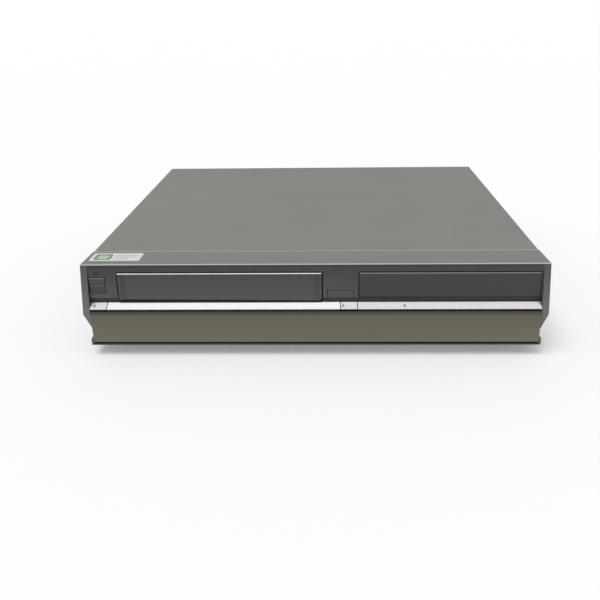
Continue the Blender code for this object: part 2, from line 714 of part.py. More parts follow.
def bezel_button_pockets(bezel):
    """Sink a pocket and a stem slot under each button of the bright strip."""
    middle = LEDGE_LENGTH / 2
    pocket_depth = STRIP_THICKNESS + CLEARANCE + STRIP_BUTTON_TRAVEL + CLEARANCE
    for name in STRIP_BUTTONS:
        left, right = STRIP_SPANS[name]
        pocket = ledge_outline(-CLEARANCE, LEDGE_LENGTH + OVERRUN, -OVERRUN, pocket_depth)
        cut(bezel, prism(f"{name}_pocket", pocket, "X", left - CLEARANCE, right + CLEARANCE,
                         "grey_plastic"))
        half_slot = STEM_WIDTH / 2 + CLEARANCE
        slot = ledge_outline(middle - half_slot, middle + half_slot, 0,
                             STRIP_THICKNESS + STEM_LENGTH + OVERRUN)
        cut(bezel, prism(f"{name}_slot", slot, "X", left + STEM_WIDTH - CLEARANCE,
                         right - STEM_WIDTH + CLEARANCE, "grey_plastic"))


def front_bezel():
    """The whole silver front moulding."""
    bezel = bezel_shell()
    bezel_face(bezel)
    bezel_door_bay(bezel)
    bezel_openings(bezel)
    bezel_button_pockets(bezel)


def bright_strip():
    """The four lengths of the sloping strip, two of them buttons on stems."""
    middle = LEDGE_LENGTH / 2
    for name, (left, right) in STRIP_SPANS.items():
        outline = ledge_outline(0, LEDGE_LENGTH, 0, STRIP_THICKNESS)
        piece = prism(name, outline, "X", left, right, "bright_strip")
        if name not in STRIP_BUTTONS:
            continue
        stem = ledge_outline(middle - STEM_WIDTH / 2, middle + STEM_WIDTH / 2,
                             STRIP_THICKNESS / 2, STRIP_THICKNESS + STEM_LENGTH)
        join(piece, prism(f"{name}_stem", stem, "X", left + STEM_WIDTH, right - STEM_WIDTH,
                          "bright_strip"))


def power_button():
    """The power button, a deep key with a leaning front."""
    outline = face_outline(POWER_BOTTOM, POWER_TOP, POWER_PROUD, POWER_DEPTH)
    prism("power_button", outline, "X", POWER_X, POWER_X + POWER_WIDTH, "silver_plastic")


def small_windows():
    """The indicator window under the power button and the receiver window in the centre."""
    indicator = face_outline(INDICATOR_BOTTOM, INDICATOR_TOP, 0, WINDOW_DEPTH)
    prism("indicator_window", indicator, "X", POWER_X, POWER_X + POWER_WIDTH, "smoked_window")
    receiver = face_outline(RECEIVER_Z, RECEIVER_Z + RECEIVER_HEIGHT, 0, WINDOW_DEPTH)
    prism("receiver_window", receiver, "X", RECEIVER_X, RECEIVER_X + RECEIVER_WIDTH,
          "smoked_window")


def hinged_panel(name, pivot, free_end, thickness, left, right, pin_length, finish_name):
    """A panel with a full round hinge edge and a pin at each end of it."""
    outline = swinging_outline(pivot, free_end, thickness)
    panel = prism(name, outline, "X", left, right, finish_name, (0, *pivot))
    if pin_length:
        pin = rods(f"{name}_pins", [(left - pin_length, *pivot)], (1, 0, 0), HINGE_PIN_RADIUS,
                   right - left + 2 * pin_length, ROUND_STEPS, finish_name)
        join(panel, pin)


def lower_door():
    """The mirrored door; it drops forward about its lower edge."""
    free_end = (LEDGE_FRONT_Y + DOOR_THICKNESS / 2, DOOR_TOP)
    hinged_panel("lower_door", DOOR_PIVOT, free_end, DOOR_THICKNESS, CLEARANCE - DOOR_HALF,
                 DOOR_HALF - CLEARANCE, HINGE_PIN_LENGTH, "mirror")


def cassette_flap():
    """The flap over the cassette slot; it swings inwards about its upper edge."""
    bottom_z = SILL_Z + FLAP_GAP
    free_end = (face_y(bottom_z) - FLAP_PROUD + FLAP_THICKNESS / 2, bottom_z)
    hinged_panel("cassette_flap", FLAP_PIVOT, free_end, FLAP_THICKNESS, FLAP_LEFT + FLAP_GAP,
                 FLAP_RIGHT - FLAP_GAP, 0, "silver_plastic")


def key_places():
    """The left edge of each key, by name."""
    names = ("stop_key", "play_key", "record_key", "channel_down_key", "channel_up_key")
    return {name: KEY_FIRST + i * KEY_PITCH for i, name in enumerate(names)}


def front_jack_centres():
    """The middle of each jack behind the door."""
    height = (LIP_TOP + PANEL_TOP) / 2
    first = DOOR_HALF - FRONT_JACK_RIGHT - (FRONT_JACK_COUNT - 1) * JACK_PITCH
    return [(first + i * JACK_PITCH, height) for i in range(FRONT_JACK_COUNT)]


def control_panel():
    """The panel behind the door, with its keys, its display and the front jacks."""
    half = DOOR_HALF - CLEARANCE
    bottom = LIP_TOP + CLEARANCE
    panel = block("control_panel", (-half, PANEL_FRONT_Y, bottom), (half, PANEL_REAR_Y, PANEL_TOP),
                  "grey_plastic")
    board_y = PANEL_REAR_Y + BOARD_PEG
    pegs = []
    for side in (-1, 1):
        for height in (bottom + PEG_INSET, PANEL_TOP - PEG_INSET):
            middle = side * (half - PEG_INSET)
            pegs.append(((middle - PEG_WIDTH / 2, PANEL_REAR_Y - PANEL_THICKNESS / 2,
                          height - PEG_WIDTH / 2),
                         (middle + PEG_WIDTH / 2, board_y - CLEARANCE, height + PEG_WIDTH / 2)))
    join(panel, blocks("control_panel_pegs", pegs, "grey_plastic"))
    key_z = bottom + KEY_RISE
    key_front = PANEL_FRONT_Y - KEY_PROUD
    holes = []
    for name, left in key_places().items():
        block(name, (left, key_front, key_z), (left + KEY_WIDTH, key_front + KEY_DEPTH,
                                               key_z + KEY_HEIGHT), "black_plastic")
        holes.append(((left - CLEARANCE, PANEL_FRONT_Y - OVERRUN, key_z - CLEARANCE),
                      (left + KEY_WIDTH + CLEARANCE, PANEL_REAR_Y + OVERRUN,
                       key_z + KEY_HEIGHT + CLEARANCE)))
    display_left = DISPLAY_LEFT - HALF
    display_z = bottom + DISPLAY_RISE
    display_front = PANEL_FRONT_Y - DISPLAY_PROUD
    block("display_module", (display_left, display_front, display_z),
          (display_left + DISPLAY_WIDTH, display_front + DISPLAY_DEPTH, display_z + DISPLAY_HEIGHT),
          "smoked_window")
    holes.append(((display_left - CLEARANCE, PANEL_FRONT_Y - OVERRUN, display_z - CLEARANCE),
                  (display_left + DISPLAY_WIDTH + CLEARANCE, PANEL_REAR_Y + OVERRUN,
                   display_z + DISPLAY_HEIGHT + CLEARANCE)))
    cut(panel, blocks("control_panel_holes", holes, "grey_plastic"))
    front_jacks(panel, board_y)
    block("front_board", (-half + FRONT_BOARD_MARGIN, board_y, bottom + FRONT_BOARD_MARGIN),
          (half - FRONT_BOARD_MARGIN, board_y + BOARD_THICKNESS, PANEL_TOP - FRONT_BOARD_MARGIN),
          "green_board")


def front_jacks(panel, board_y):
    """The block of jacks that stands on the front board and reaches through the panel."""
    centres = front_jack_centres()
    length = PANEL_THICKNESS + FRONT_JACK_PROUD + BOARD_PEG / 2
    start = PANEL_FRONT_Y - FRONT_JACK_PROUD
    holes = rods("front_jack_holes", [(x, PANEL_FRONT_Y - OVERRUN, z) for x, z in centres],
                 (0, 1, 0), JACK_RADIUS + CLEARANCE, PANEL_THICKNESS + 2 * OVERRUN, SMALL_STEPS,
                 "grey_plastic")
    cut(panel, holes)
    reach = JACK_RADIUS + FRONT_JACK_MARGIN
    low = (centres[0][0] - reach, PANEL_REAR_Y + CLEARANCE, centres[0][1] - reach)
    high = (centres[-1][0] + reach, board_y - CLEARANCE, centres[0][1] + reach)
    jacks = block("front_jack_block", low, high, "black_plastic")
    join(jacks, rods("front_jack_barrels", [(x, start, z) for x, z in centres], (0, 1, 0),
                     JACK_RADIUS, length, SMALL_STEPS, "black_plastic"))
    cut(jacks, rods("front_jack_bores", [(x, start - OVERRUN, z) for x, z in centres], (0, 1, 0),
                    JACK_BORE_RADIUS, length + OVERRUN, ROUND_STEPS, "black_plastic"))


def post_places():
    """The middle of each post on the chassis with its height, for the deck and both boards."""
    deck = []
    for side in (-1, 1):
        for y in (DECK_FRONT_Y + 2 * POST_INSET, DECK_BACK_Y - POST_INSET):
            deck.append((DECK_X + side * (DECK_HALF - POST_INSET), y, DECK_POST_HEIGHT))
    boards = []
    spans = ((BOARD_LEFT, MAIN_BOARD_RIGHT, BOARD_FRONT_Y), (PSU_LEFT, PSU_RIGHT, PSU_FRONT_Y))
    for left, right, front in spans:
        for x in (left + POST_INSET, right - POST_INSET):
            for y in (front + POST_INSET, BOARD_BACK_Y - POST_INSET):
                boards.append((x, y, BOARD_POST_HEIGHT))
    return deck + boards


def screw_places():
    """The place of each cover screw and the way it points outwards."""
    height = CHASSIS_TOP + SCREW_RISE
    places = []
    for side in (-1, 1):
        for y in (SEAM_Y + SCREW_FRONT_INSET, PANEL_Y - SCREW_REAR_INSET):
            places.append((side, y, height))
    return places


def bottom_chassis():
    """The pressed tray under everything, with side flanges, posts and cooling slots."""
    half = INNER_HALF
    top = CHASSIS_TOP + FLANGE_HEIGHT
    sheet = CHASSIS_SHEET
    outline = [(-half, top), (-half, CHASSIS_BOTTOM), (half, CHASSIS_BOTTOM), (half, top),
               (half - sheet, top), (half - sheet, CHASSIS_TOP), (sheet - half, CHASSIS_TOP),
               (sheet - half, top)]
    chassis = prism("bottom_chassis", outline, "Y", SEAM_Y + CLEARANCE, PANEL_Y - CLEARANCE,
                    "zinc_sheet")
    bm = bmesh.new()
    for x, y, height in post_places():
        add_turned(bm, rod_profile(POST_RADIUS, height + sheet / 2),
                   (x, y, CHASSIS_TOP - sheet / 2), (0, 0, 1), SMALL_STEPS)
    join(chassis, place_mesh("chassis_posts", bm, "zinc_sheet", (0, 0, 0)))
    slots = []
    pitch = 2 * CHASSIS_SLOT_WIDTH
    middle = (PSU_LEFT + PSU_RIGHT) / 2
    for i in range(CHASSIS_SLOTS):
        y = PSU_FRONT_Y + PSU_DEPTH / 4 + i * pitch
        slots.append(((middle - CHASSIS_SLOT_LENGTH / 2, y, CHASSIS_BOTTOM - OVERRUN),
                      (middle + CHASSIS_SLOT_LENGTH / 2, y + CHASSIS_SLOT_WIDTH,
                       CHASSIS_TOP + OVERRUN)))
    cut(chassis, blocks("chassis_slots", slots, "zinc_sheet"))
    cut(chassis, screw_holes("chassis_screw_holes"))


def screw_holes(name):
    """One rod across the case for each pair of cover screws."""
    places = [(-HALF, y, z) for side, y, z in screw_places() if side < 0]
    return rods(name, places, (1, 0, 0), SCREW_SHANK_RADIUS + CLEARANCE, CASE_WIDTH, SMALL_STEPS,
                "zinc_sheet")


def top_cover():
    """The folded lid: a flat top, two sides and a short lip over the rear panel."""
    half = HALF - COVER_INSET
    sheet = COVER_SHEET
    bottom = CHASSIS_BOTTOM + COVER_FOOT_GAP
    outline = [(-half, bottom), (-half, CASE_TOP), (half, CASE_TOP), (half, bottom),
               (half - sheet, bottom), (half - sheet, CASE_TOP - sheet),
               (sheet - half, CASE_TOP - sheet), (sheet - half, bottom)]
    cover = prism("top_cover", outline, "Y", SEAM_Y + CLEARANCE, PANEL_BACK_Y + COVER_REAR_OVERLAP,
                  "silver_sheet")
    cut(cover, screw_holes("cover_screw_holes"))


def cover_screws():
    """Four pan-head screws through the cover's sides into the chassis flanges."""
    profile = [(0, -SCREW_SHANK_LENGTH), (SCREW_SHANK_RADIUS, -SCREW_SHANK_LENGTH),
               (SCREW_SHANK_RADIUS, 0), (SCREW_HEAD_RADIUS, 0),
               (SCREW_HEAD_RADIUS - SCREW_HEAD_HEIGHT / 3, SCREW_HEAD_HEIGHT), (0, SCREW_HEAD_HEIGHT)]
    seat = HALF - COVER_INSET + CLEARANCE
    for number, (side, y, z) in enumerate(screw_places(), start=1):
        turned(f"cover_screw_{number}", profile, (side * seat, y, z), (side, 0, 0), SMALL_STEPS,
               "steel")


def feet():
    """Four round feet under the chassis."""
    profile = [(0, 0), (FOOT_BOTTOM_RADIUS, 0), (FOOT_TOP_RADIUS, FOOT_HEIGHT), (0, FOOT_HEIGHT)]
    for end, y in (("front", SEAM_Y + FOOT_FRONT_INSET), ("rear", PANEL_Y - FOOT_REAR_INSET)):
        for side, hand in ((-1, "left"), (1, "right")):
            x = side * (HALF - FOOT_SIDE_INSET)
            turned(f"foot_{end}_{hand}", profile, (x, y, 0), (0, 0, 1), TURNED_STEPS, "rubber")


def rear_jack_centres():
    """The middle of each jack on the back, in rows and columns."""
    centres = []
    for row in range(REAR_JACK_ROWS):
        for column in range(REAR_JACK_COLUMNS):
            x = REAR_JACK_CENTRE + (column + 0.5) * JACK_PITCH - JACK_SIDE / 2
            centres.append((x, BOARD_TOP + REAR_JACK_RISE + row * JACK_PITCH))
    return centres


def aerial_centres():
    """The middle of each aerial socket on the tuner."""
    middle = BOARD_LEFT + TUNER_LEFT + TUNER_WIDTH / 2
    height = BOARD_TOP + CLEARANCE + TUNER_HEIGHT / 2
    return [(middle + side * AERIAL_SPREAD, height) for side in (-1, 1)]


FAN_X = PSU_LEFT + FAN_RIGHT - FAN_SIZE / 2
FAN_Z = BOARD_TOP + FAN_RISE + FAN_SIZE / 2
INLET_X = PSU_RIGHT - INLET_RIGHT
INLET_Z = BOARD_TOP + CLEARANCE


def rear_panel():
    """The back of the case, cut for the fan, the jacks, the tuner and the power inlet."""
    panel = block("rear_panel", (-INNER_HALF, PANEL_Y, CHASSIS_BOTTOM),
                  (INNER_HALF, PANEL_BACK_Y, CASE_TOP - COVER_SHEET - CLEARANCE), "zinc_sheet")
    start = PANEL_Y - OVERRUN
    length = PANEL_SHEET + 2 * OVERRUN
    cut(panel, rods("rear_jack_holes", [(x, start, z) for x, z in rear_jack_centres()], (0, 1, 0),
                    JACK_RADIUS + CLEARANCE, length, SMALL_STEPS, "zinc_sheet"))
    cut(panel, rods("aerial_holes", [(x, start, z) for x, z in aerial_centres()], (0, 1, 0),
                    AERIAL_RADIUS + CLEARANCE, length, SMALL_STEPS, "zinc_sheet"))
    cut(panel, block("inlet_hole", (INLET_X - INLET_WIDTH / 2 - CLEARANCE, start,
                                    INLET_Z - CLEARANCE),
                     (INLET_X + INLET_WIDTH / 2 + CLEARANCE, start + length,
                      INLET_Z + INLET_HEIGHT + CLEARANCE), "zinc_sheet"))
    slots = []
    pitch = 2 * FAN_BORE_RADIUS / GRILLE_SLOTS
    for i in range(GRILLE_SLOTS):
        offset = (i + 0.5) * pitch - FAN_BORE_RADIUS
        reach = math.sqrt(FAN_BORE_RADIUS ** 2 - offset ** 2)
        half = pitch * GRILLE_SLOT_SHARE / 2
        slots.append(((FAN_X + offset - half, start, FAN_Z - reach),
                      (FAN_X + offset + half, start + length, FAN_Z + reach)))
    cut(panel, blocks("fan_grille", slots, "zinc_sheet"))


def main_board():
    """The main board along the back of the case, with its large chip."""
    board = block("main_board", (BOARD_LEFT, BOARD_FRONT_Y, BOARD_BOTTOM),
                  (MAIN_BOARD_RIGHT, BOARD_BACK_Y, BOARD_TOP), "green_board")
    width, depth, height = CHIP_SIZE
    chip_x = BOARD_LEFT + CHIP_LEFT
    chip_y = BOARD_FRONT_Y + BOARD_THICKNESS
    join(board, block("main_chip", (chip_x, chip_y, BOARD_TOP - BOARD_THICKNESS / 2),
                      (chip_x + width, chip_y + depth, BOARD_TOP + height), "black_plastic"))


def power_supply_board():
    """The power supply board with its capacitor and heat fin."""
    board = block("power_supply_board", (PSU_LEFT, PSU_FRONT_Y, BOARD_BOTTOM),
                  (PSU_RIGHT, BOARD_BACK_Y, BOARD_TOP), "green_board")
    base = BOARD_TOP - BOARD_THICKNESS / 2
    capacitor = (PSU_LEFT + CAPACITOR_LEFT, PSU_FRONT_Y + CAPACITOR_FRONT, base)
    join(board, rods("psu_capacitor", [capacitor], (0, 0, 1), CAPACITOR_RADIUS,
                     CAPACITOR_HEIGHT + BOARD_THICKNESS / 2, TURNED_STEPS, "black_plastic"))
    width, depth, height = HEAT_FIN
    fin_x = PSU_LEFT + HEAT_FIN_LEFT
    fin_y = PSU_FRONT_Y + HEAT_FIN_FRONT
    join(board, block("psu_heat_fin", (fin_x, fin_y, base),
                      (fin_x + width, fin_y + depth, BOARD_TOP + height), "steel"))


def transformer():
    """The transformer: a core with a winding that stands out of both faces."""
    width, depth, height = TRANSFORMER_SIZE
    x = PSU_RIGHT - TRANSFORMER_RIGHT
    y = PSU_FRONT_Y + TRANSFORMER_FRONT
    z = BOARD_TOP + CLEARANCE
    core = TRANSFORMER_CORE
    piece = block("transformer", (x - width / 2, y - depth / 2 + core, z),
                  (x + width / 2, y + depth / 2 - core, z + height), "steel")
    join(piece, block("transformer_winding", (x - width / 2 + core, y - depth / 2, z + core),
                      (x + width / 2 - core, y + depth / 2, z + height - core), "copper"))


def rear_jack_block():
    """Two rows of jacks on one block, reaching through the rear panel."""
    centres = rear_jack_centres()
    top = centres[-1][1] + JACK_PITCH / 2
    left = REAR_JACK_CENTRE - JACK_SIDE / 2
    piece = block("rear_jack_block", (left, CONNECTOR_INNER_Y - REAR_JACK_DEPTH,
                                      BOARD_TOP + CLEARANCE),
                  (left + JACK_SIDE, CONNECTOR_INNER_Y, top), "black_plastic")
    start = CONNECTOR_INNER_Y - PANEL_SHEET
    join(piece, rods("rear_jack_barrels", [(x, start, z) for x, z in centres], (0, 1, 0),
                     JACK_RADIUS, REAR_Y - start, SMALL_STEPS, "steel"))
    cut(piece, rods("rear_jack_bores", [(x, PANEL_Y, z) for x, z in centres], (0, 1, 0),
                    JACK_BORE_RADIUS, JACK_REACH + OVERRUN, ROUND_STEPS, "steel"))


def antenna_tuner():
    """The screened tuner can with its two aerial sockets."""
    left = BOARD_LEFT + TUNER_LEFT
    bottom = BOARD_TOP + CLEARANCE
    tuner = block("antenna_tuner", (left, CONNECTOR_INNER_Y - TUNER_DEPTH, bottom),
                  (left + TUNER_WIDTH, CONNECTOR_INNER_Y, bottom + TUNER_HEIGHT), "zinc_sheet")
    start = CONNECTOR_INNER_Y - PANEL_SHEET
    join(tuner, rods("aerial_barrels", [(x, start, z) for x, z in aerial_centres()], (0, 1, 0),
                     AERIAL_RADIUS, REAR_Y - start, SMALL_STEPS, "steel"))
    cut(tuner, rods("aerial_bores", [(x, PANEL_Y, z) for x, z in aerial_centres()], (0, 1, 0),
                    JACK_BORE_RADIUS, JACK_REACH + OVERRUN, ROUND_STEPS, "steel"))


def ac_inlet():
    """The two-pin power inlet, open to the back."""
    outer_y = PANEL_BACK_Y + INLET_PROUD
    half = INLET_WIDTH / 2
    inlet = block("ac_inlet", (INLET_X - half, outer_y - INLET_DEPTH, INLET_Z),
                  (INLET_X + half, outer_y, INLET_Z + INLET_HEIGHT), "black_plastic")
    wall = INLET_POCKET_WALL
    floor_y = outer_y - INLET_POCKET_DEPTH
    cut(inlet, block("inlet_pocket", (INLET_X - half + wall, floor_y, INLET_Z + wall),
                     (INLET_X + half - wall, outer_y + OVERRUN, INLET_Z + INLET_HEIGHT - wall),
                     "black_plastic"))
    pins = [(INLET_X + side * INLET_PIN_SPREAD, floor_y - wall / 2, INLET_Z + INLET_HEIGHT / 2)
            for side in (-1, 1)]
    join(inlet, rods("inlet_pins", pins, (0, 1, 0), INLET_PIN_RADIUS, INLET_PIN_LENGTH + wall / 2,
                     SMALL_STEPS, "steel"))


def fan():
    """The cooling fan: a square frame with struts, and a bladed rotor on its hub."""
    back = CONNECTOR_INNER_Y
    front = back - FAN_DEPTH
    half = FAN_SIZE / 2
    frame = block("fan_frame", (FAN_X - half, front, FAN_Z - half),
                  (FAN_X + half, back, FAN_Z + half), "black_plastic")
    cut(frame, rods("fan_bore", [(FAN_X, front - OVERRUN, FAN_Z)], (0, 1, 0), FAN_BORE_RADIUS,
                    FAN_DEPTH + 2 * OVERRUN, WIDE_STEPS, "black_plastic"))
    width = FAN_STRUT_WIDTH / 2
    reach = FAN_BORE_RADIUS + width
    join(frame, block("fan_strut_across", (FAN_X - reach, front, FAN_Z - width),
                      (FAN_X + reach, front + FAN_STRUT_DEPTH, FAN_Z + width), "black_plastic"))
    join(frame, block("fan_strut_upright", (FAN_X - width, front, FAN_Z - reach),
                      (FAN_X + width, front + FAN_STRUT_DEPTH, FAN_Z + reach), "black_plastic"))
    join(frame, rods("fan_motor_seat", [(FAN_X, front, FAN_Z)], (0, 1, 0), FAN_HUB_RADIUS,
                     FAN_STRUT_DEPTH, TURNED_STEPS, "black_plastic"))
    hub_y = front + FAN_STRUT_DEPTH + RUNNING
    hub_length = back - hub_y - RUNNING
    centre = (FAN_X, hub_y, FAN_Z)
    rotor = turned("fan_rotor", rod_profile(FAN_HUB_RADIUS, hub_length), centre, (0, 1, 0),
                   TURNED_STEPS, "black_plastic")
    join(rotor, fan_blades(centre, hub_length))


def fan_blades(centre, hub_length):
    """Blades set round the hub, each a plate turned about its own length."""
    bm = bmesh.new()
    inner = FAN_HUB_RADIUS - FAN_BLADE_THICKNESS
    outer = FAN_BORE_RADIUS - FAN_TIP_GAP
    chord = hub_length * math.cos(FAN_BLADE_TILT)
    for i in range(FAN_BLADE_COUNT):
        verts = add_box(bm, (inner, -chord / 2, -FAN_BLADE_THICKNESS / 2),
                        (outer, chord / 2, FAN_BLADE_THICKNESS / 2))
        tilt = Matrix.Rotation(FAN_BLADE_TILT, 4, "X")
        around = Matrix.Rotation(math.tau * i / FAN_BLADE_COUNT, 4, "Y")
        middle = Matrix.Translation(Vector(centre) + Vector((0, hub_length / 2, 0)))
        bmesh.ops.transform(bm, matrix=middle @ around @ tilt, verts=verts)
    return place_mesh("fan_blades", bm, "black_plastic", (0, 0, 0))


def drive_frame():
    """The drive's channel: a floor with a window, tray ledges, side walls and four legs."""
    outer = DRIVE_WIDTH / 2
    inner = DRIVE_INNER / 2
    shelf = inner - DRIVE_LEDGE
    ledge_z = TRAY_BOTTOM - CLEARANCE
    right = [(0, DRIVE_FLOOR_BOTTOM), (outer, DRIVE_FLOOR_BOTTOM), (outer, DRIVE_TOP),
             (inner, DRIVE_TOP), (inner, ledge_z), (shelf, ledge_z), (shelf, DRIVE_FLOOR_TOP)]
    outline = [(DRIVE_X + x, z) for x, z in right[1:]]
    outline += [(DRIVE_X - x, z) for x, z in reversed(right[1:])]
    frame = prism("drive_frame", outline, "Y", DRIVE_FRONT_Y, DRIVE_BACK_Y, "black_plastic")
    window_low = (DRIVE_X - DRIVE_WINDOW_HALF, DISC_Y - DRIVE_WINDOW_FRONT,
                  DRIVE_FLOOR_BOTTOM - OVERRUN)
    window_high = (DRIVE_X + DRIVE_WINDOW_HALF, DISC_Y + DRIVE_WINDOW_BACK,
                   DRIVE_FLOOR_TOP + OVERRUN)
    cut(frame, block("drive_window", window_low, window_high, "black_plastic"))
    legs = []
    for side in (-1, 1):
        x = DRIVE_X + side * (outer - DRIVE_LEG / 2)
        for y in (DRIVE_FRONT_Y + DRIVE_FRONT_LEG_SETBACK, DRIVE_BACK_Y - DRIVE_LEG):
            legs.append(((x - DRIVE_LEG / 2, y - DRIVE_LEG / 2, CHASSIS_TOP + CLEARANCE),
                         (x + DRIVE_LEG / 2, y + DRIVE_LEG / 2,
                          DRIVE_FLOOR_BOTTOM + DRIVE_FLOOR / 2)))
    join(frame, blocks("drive_legs", legs, "black_plastic"))


def clamp_bridge():
    """The metal bridge over the tray that carries the clamper in a round hole."""
    half = DRIVE_WIDTH / 2
    bridge = block("clamp_bridge", (DRIVE_X - half, DISC_Y - BRIDGE_DEPTH / 2, BRIDGE_BOTTOM),
                   (DRIVE_X + half, DISC_Y + BRIDGE_DEPTH / 2, BRIDGE_TOP), "zinc_sheet")
    cut(bridge, rods("clamp_hole", [(DRIVE_X, DISC_Y, BRIDGE_BOTTOM - OVERRUN)], (0, 0, 1),
                     CLAMP_NECK_RADIUS + RUNNING, BRIDGE_SHEET + 2 * OVERRUN, TURNED_STEPS,
                     "zinc_sheet"))


def disc_clamper():
    """The clamper: a disc under the bridge and a flange that rests on top of it."""
    bottom = TRAY_TOP + CLAMP_LIFT
    flange = BRIDGE_TOP + CLEARANCE - bottom
    profile = [(0, 0), (CLAMP_DISC_RADIUS, 0), (CLAMP_DISC_RADIUS, CLAMP_DISC_HEIGHT),
               (CLAMP_NECK_RADIUS, CLAMP_DISC_HEIGHT), (CLAMP_NECK_RADIUS, flange),
               (CLAMP_FLANGE_RADIUS, flange), (CLAMP_FLANGE_RADIUS, flange + CLAMP_FLANGE_HEIGHT),
               (0, flange + CLAMP_FLANGE_HEIGHT)]
    turned("disc_clamper", profile, (DRIVE_X, DISC_Y, bottom), (0, 0, 1), TURNED_STEPS,
           "black_plastic")


def disc_tray():
    """The tray: a slab with a round disc seat and a slot to the back for the turntable."""
    half = TRAY_WIDTH / 2
    tray = block("disc_tray", (DRIVE_X - half, TRAY_FRONT_Y, TRAY_BOTTOM),
                 (DRIVE_X + half, TRAY_BACK_Y, TRAY_TOP), "black_plastic")
    seat_radius = DISC_DIAMETER / 2 + DISC_PLAY / 2
    cut(tray, rods("disc_seat", [(DRIVE_X, DISC_Y, DISC_SEAT)], (0, 0, 1), seat_radius,
                   TRAY_RECESS + OVERRUN, DISC_STEPS, "black_plastic"))
    outline = []
    for step in range(ROUND_STEPS + 1):
        angle = math.pi * (1 + step / ROUND_STEPS)
        outline.append((DRIVE_X + TRAY_SLOT_HALF * math.cos(angle),
                        DISC_Y + TRAY_SLOT_HALF * math.sin(angle)))
    outline.append((DRIVE_X + TRAY_SLOT_HALF, TRAY_BACK_Y + OVERRUN))
    outline.append((DRIVE_X - TRAY_SLOT_HALF, TRAY_BACK_Y + OVERRUN))
    cut(tray, prism("tray_slot", outline, "Z", TRAY_BOTTOM - OVERRUN, TRAY_TOP + OVERRUN,
                    "black_plastic"))


def tray_front():
    """The front of the tray, leaning with the upper face and wider than the tray."""
    low = TRAY_OPENING_BOTTOM + CLEARANCE
    high = LINTEL_Z - CLEARANCE
    back = TRAY_FRONT_Y - CLEARANCE
    outline = [(face_y(low) - TRAY_PROUD, low), (face_y(high) - TRAY_PROUD, high), (back, high),
               (back, low)]
    prism("tray_front", outline, "X", TRAY_LEFT + CLEARANCE, TRAY_RIGHT - CLEARANCE,
          "silver_plastic")


def traverse_chassis():
    """The plate under the drive's window, with the end blocks of the guide rods."""
    low_y = DISC_Y - DRIVE_WINDOW_FRONT - TRAVERSE_RIM
    high_y = DISC_Y + DRIVE_WINDOW_BACK + TRAVERSE_RIM
    half = DRIVE_WINDOW_HALF + TRAVERSE_RIM
    plate = block("traverse_chassis", (DRIVE_X - half, low_y, TRAVERSE_TOP - TRAVERSE_SHEET),
                  (DRIVE_X + half, high_y, TRAVERSE_TOP), "zinc_sheet")
    ends = []
    for side in (-1, 1):
        x = DRIVE_X + side * ROD_SPREAD
        for y in (ROD_FRONT_Y, ROD_FRONT_Y + ROD_RUN - ROD_BLOCK):
            ends.append(((x - ROD_BLOCK, y, TRAVERSE_TOP - TRAVERSE_SHEET / 2),
                         (x + ROD_BLOCK, y + ROD_BLOCK, TRAVERSE_TOP + ROD_BLOCK_HEIGHT)))
    join(plate, blocks("rod_blocks", ends, "zinc_sheet"))
    places = [(DRIVE_X + side * ROD_SPREAD, ROD_FRONT_Y - OVERRUN, ROD_Z) for side in (-1, 1)]
    cut(plate, rods("rod_seats", places, (0, 1, 0), ROD_RADIUS + CLEARANCE,
                    ROD_RUN + 2 * OVERRUN, SMALL_STEPS, "zinc_sheet"))


def guide_rods():
    """The two polished rods that the pickup slides on."""
    for side, hand in ((-1, "left"), (1, "right")):
        centre = (DRIVE_X + side * ROD_SPREAD, ROD_FRONT_Y, ROD_Z)
        turned(f"guide_rod_{hand}", rod_profile(ROD_RADIUS, ROD_RUN), centre, (0, 1, 0),
               SMALL_STEPS, "steel")


def spindle_motor():
    """The flat motor on the traverse, bored for the turntable's spindle."""
    bottom = TRAVERSE_TOP + CLEARANCE
    profile = ring_profile(SPINDLE_RADIUS + CLEARANCE, MOTOR_RADIUS, MOTOR_HEIGHT)
    turned("spindle_motor", profile, (DRIVE_X, DISC_Y, bottom), (0, 0, 1), TURNED_STEPS, "steel")


def turntable():
    """The turntable: a spindle, a flat seat just under the disc and a centring hub."""
    motor_top = TRAVERSE_TOP + CLEARANCE + MOTOR_HEIGHT
    bottom = motor_top + RUNNING
    seat = DISC_SEAT - TURNTABLE_DROP - bottom
    foot = MOTOR_HEIGHT - RUNNING
    profile = [(0, -foot), (SPINDLE_RADIUS, -foot), (SPINDLE_RADIUS, 0), (TURNTABLE_RADIUS, 0),
               (TURNTABLE_RADIUS, seat), (HUB_RADIUS, seat), (HUB_RADIUS, seat + HUB_HEIGHT / 2),
               (HUB_RADIUS / 2, seat + HUB_HEIGHT), (0, seat + HUB_HEIGHT)]
    turned("turntable", profile, (DRIVE_X, DISC_Y, bottom), (0, 0, 1), TURNED_STEPS, "grey_plastic")


def optical_pickup():
    """The pickup sled on its two rods, with the lens turret in the tray's slot."""
    bottom = TRAVERSE_TOP + CLEARANCE
    top = bottom + PICKUP_HEIGHT
    pickup = block("optical_pickup", (DRIVE_X - PICKUP_HALF, PICKUP_Y, bottom),
                   (DRIVE_X + PICKUP_HALF, PICKUP_Y + PICKUP_LENGTH, top), "grey_plastic")
    middle = PICKUP_Y + PICKUP_LENGTH / 2
    join(pickup, block("lens_turret", (DRIVE_X - LENS_HALF, middle - LENS_HALF, top - RUNNING),
                       (DRIVE_X + LENS_HALF, middle + LENS_HALF, top + LENS_RISE), "black_plastic"))
    places = [(DRIVE_X + side * ROD_SPREAD, PICKUP_Y - OVERRUN, ROD_Z) for side in (-1, 1)]
    cut(pickup, rods("pickup_bores", places, (0, 1, 0), ROD_RADIUS + CLEARANCE,
                     PICKUP_LENGTH + 2 * OVERRUN, SMALL_STEPS, "grey_plastic"))


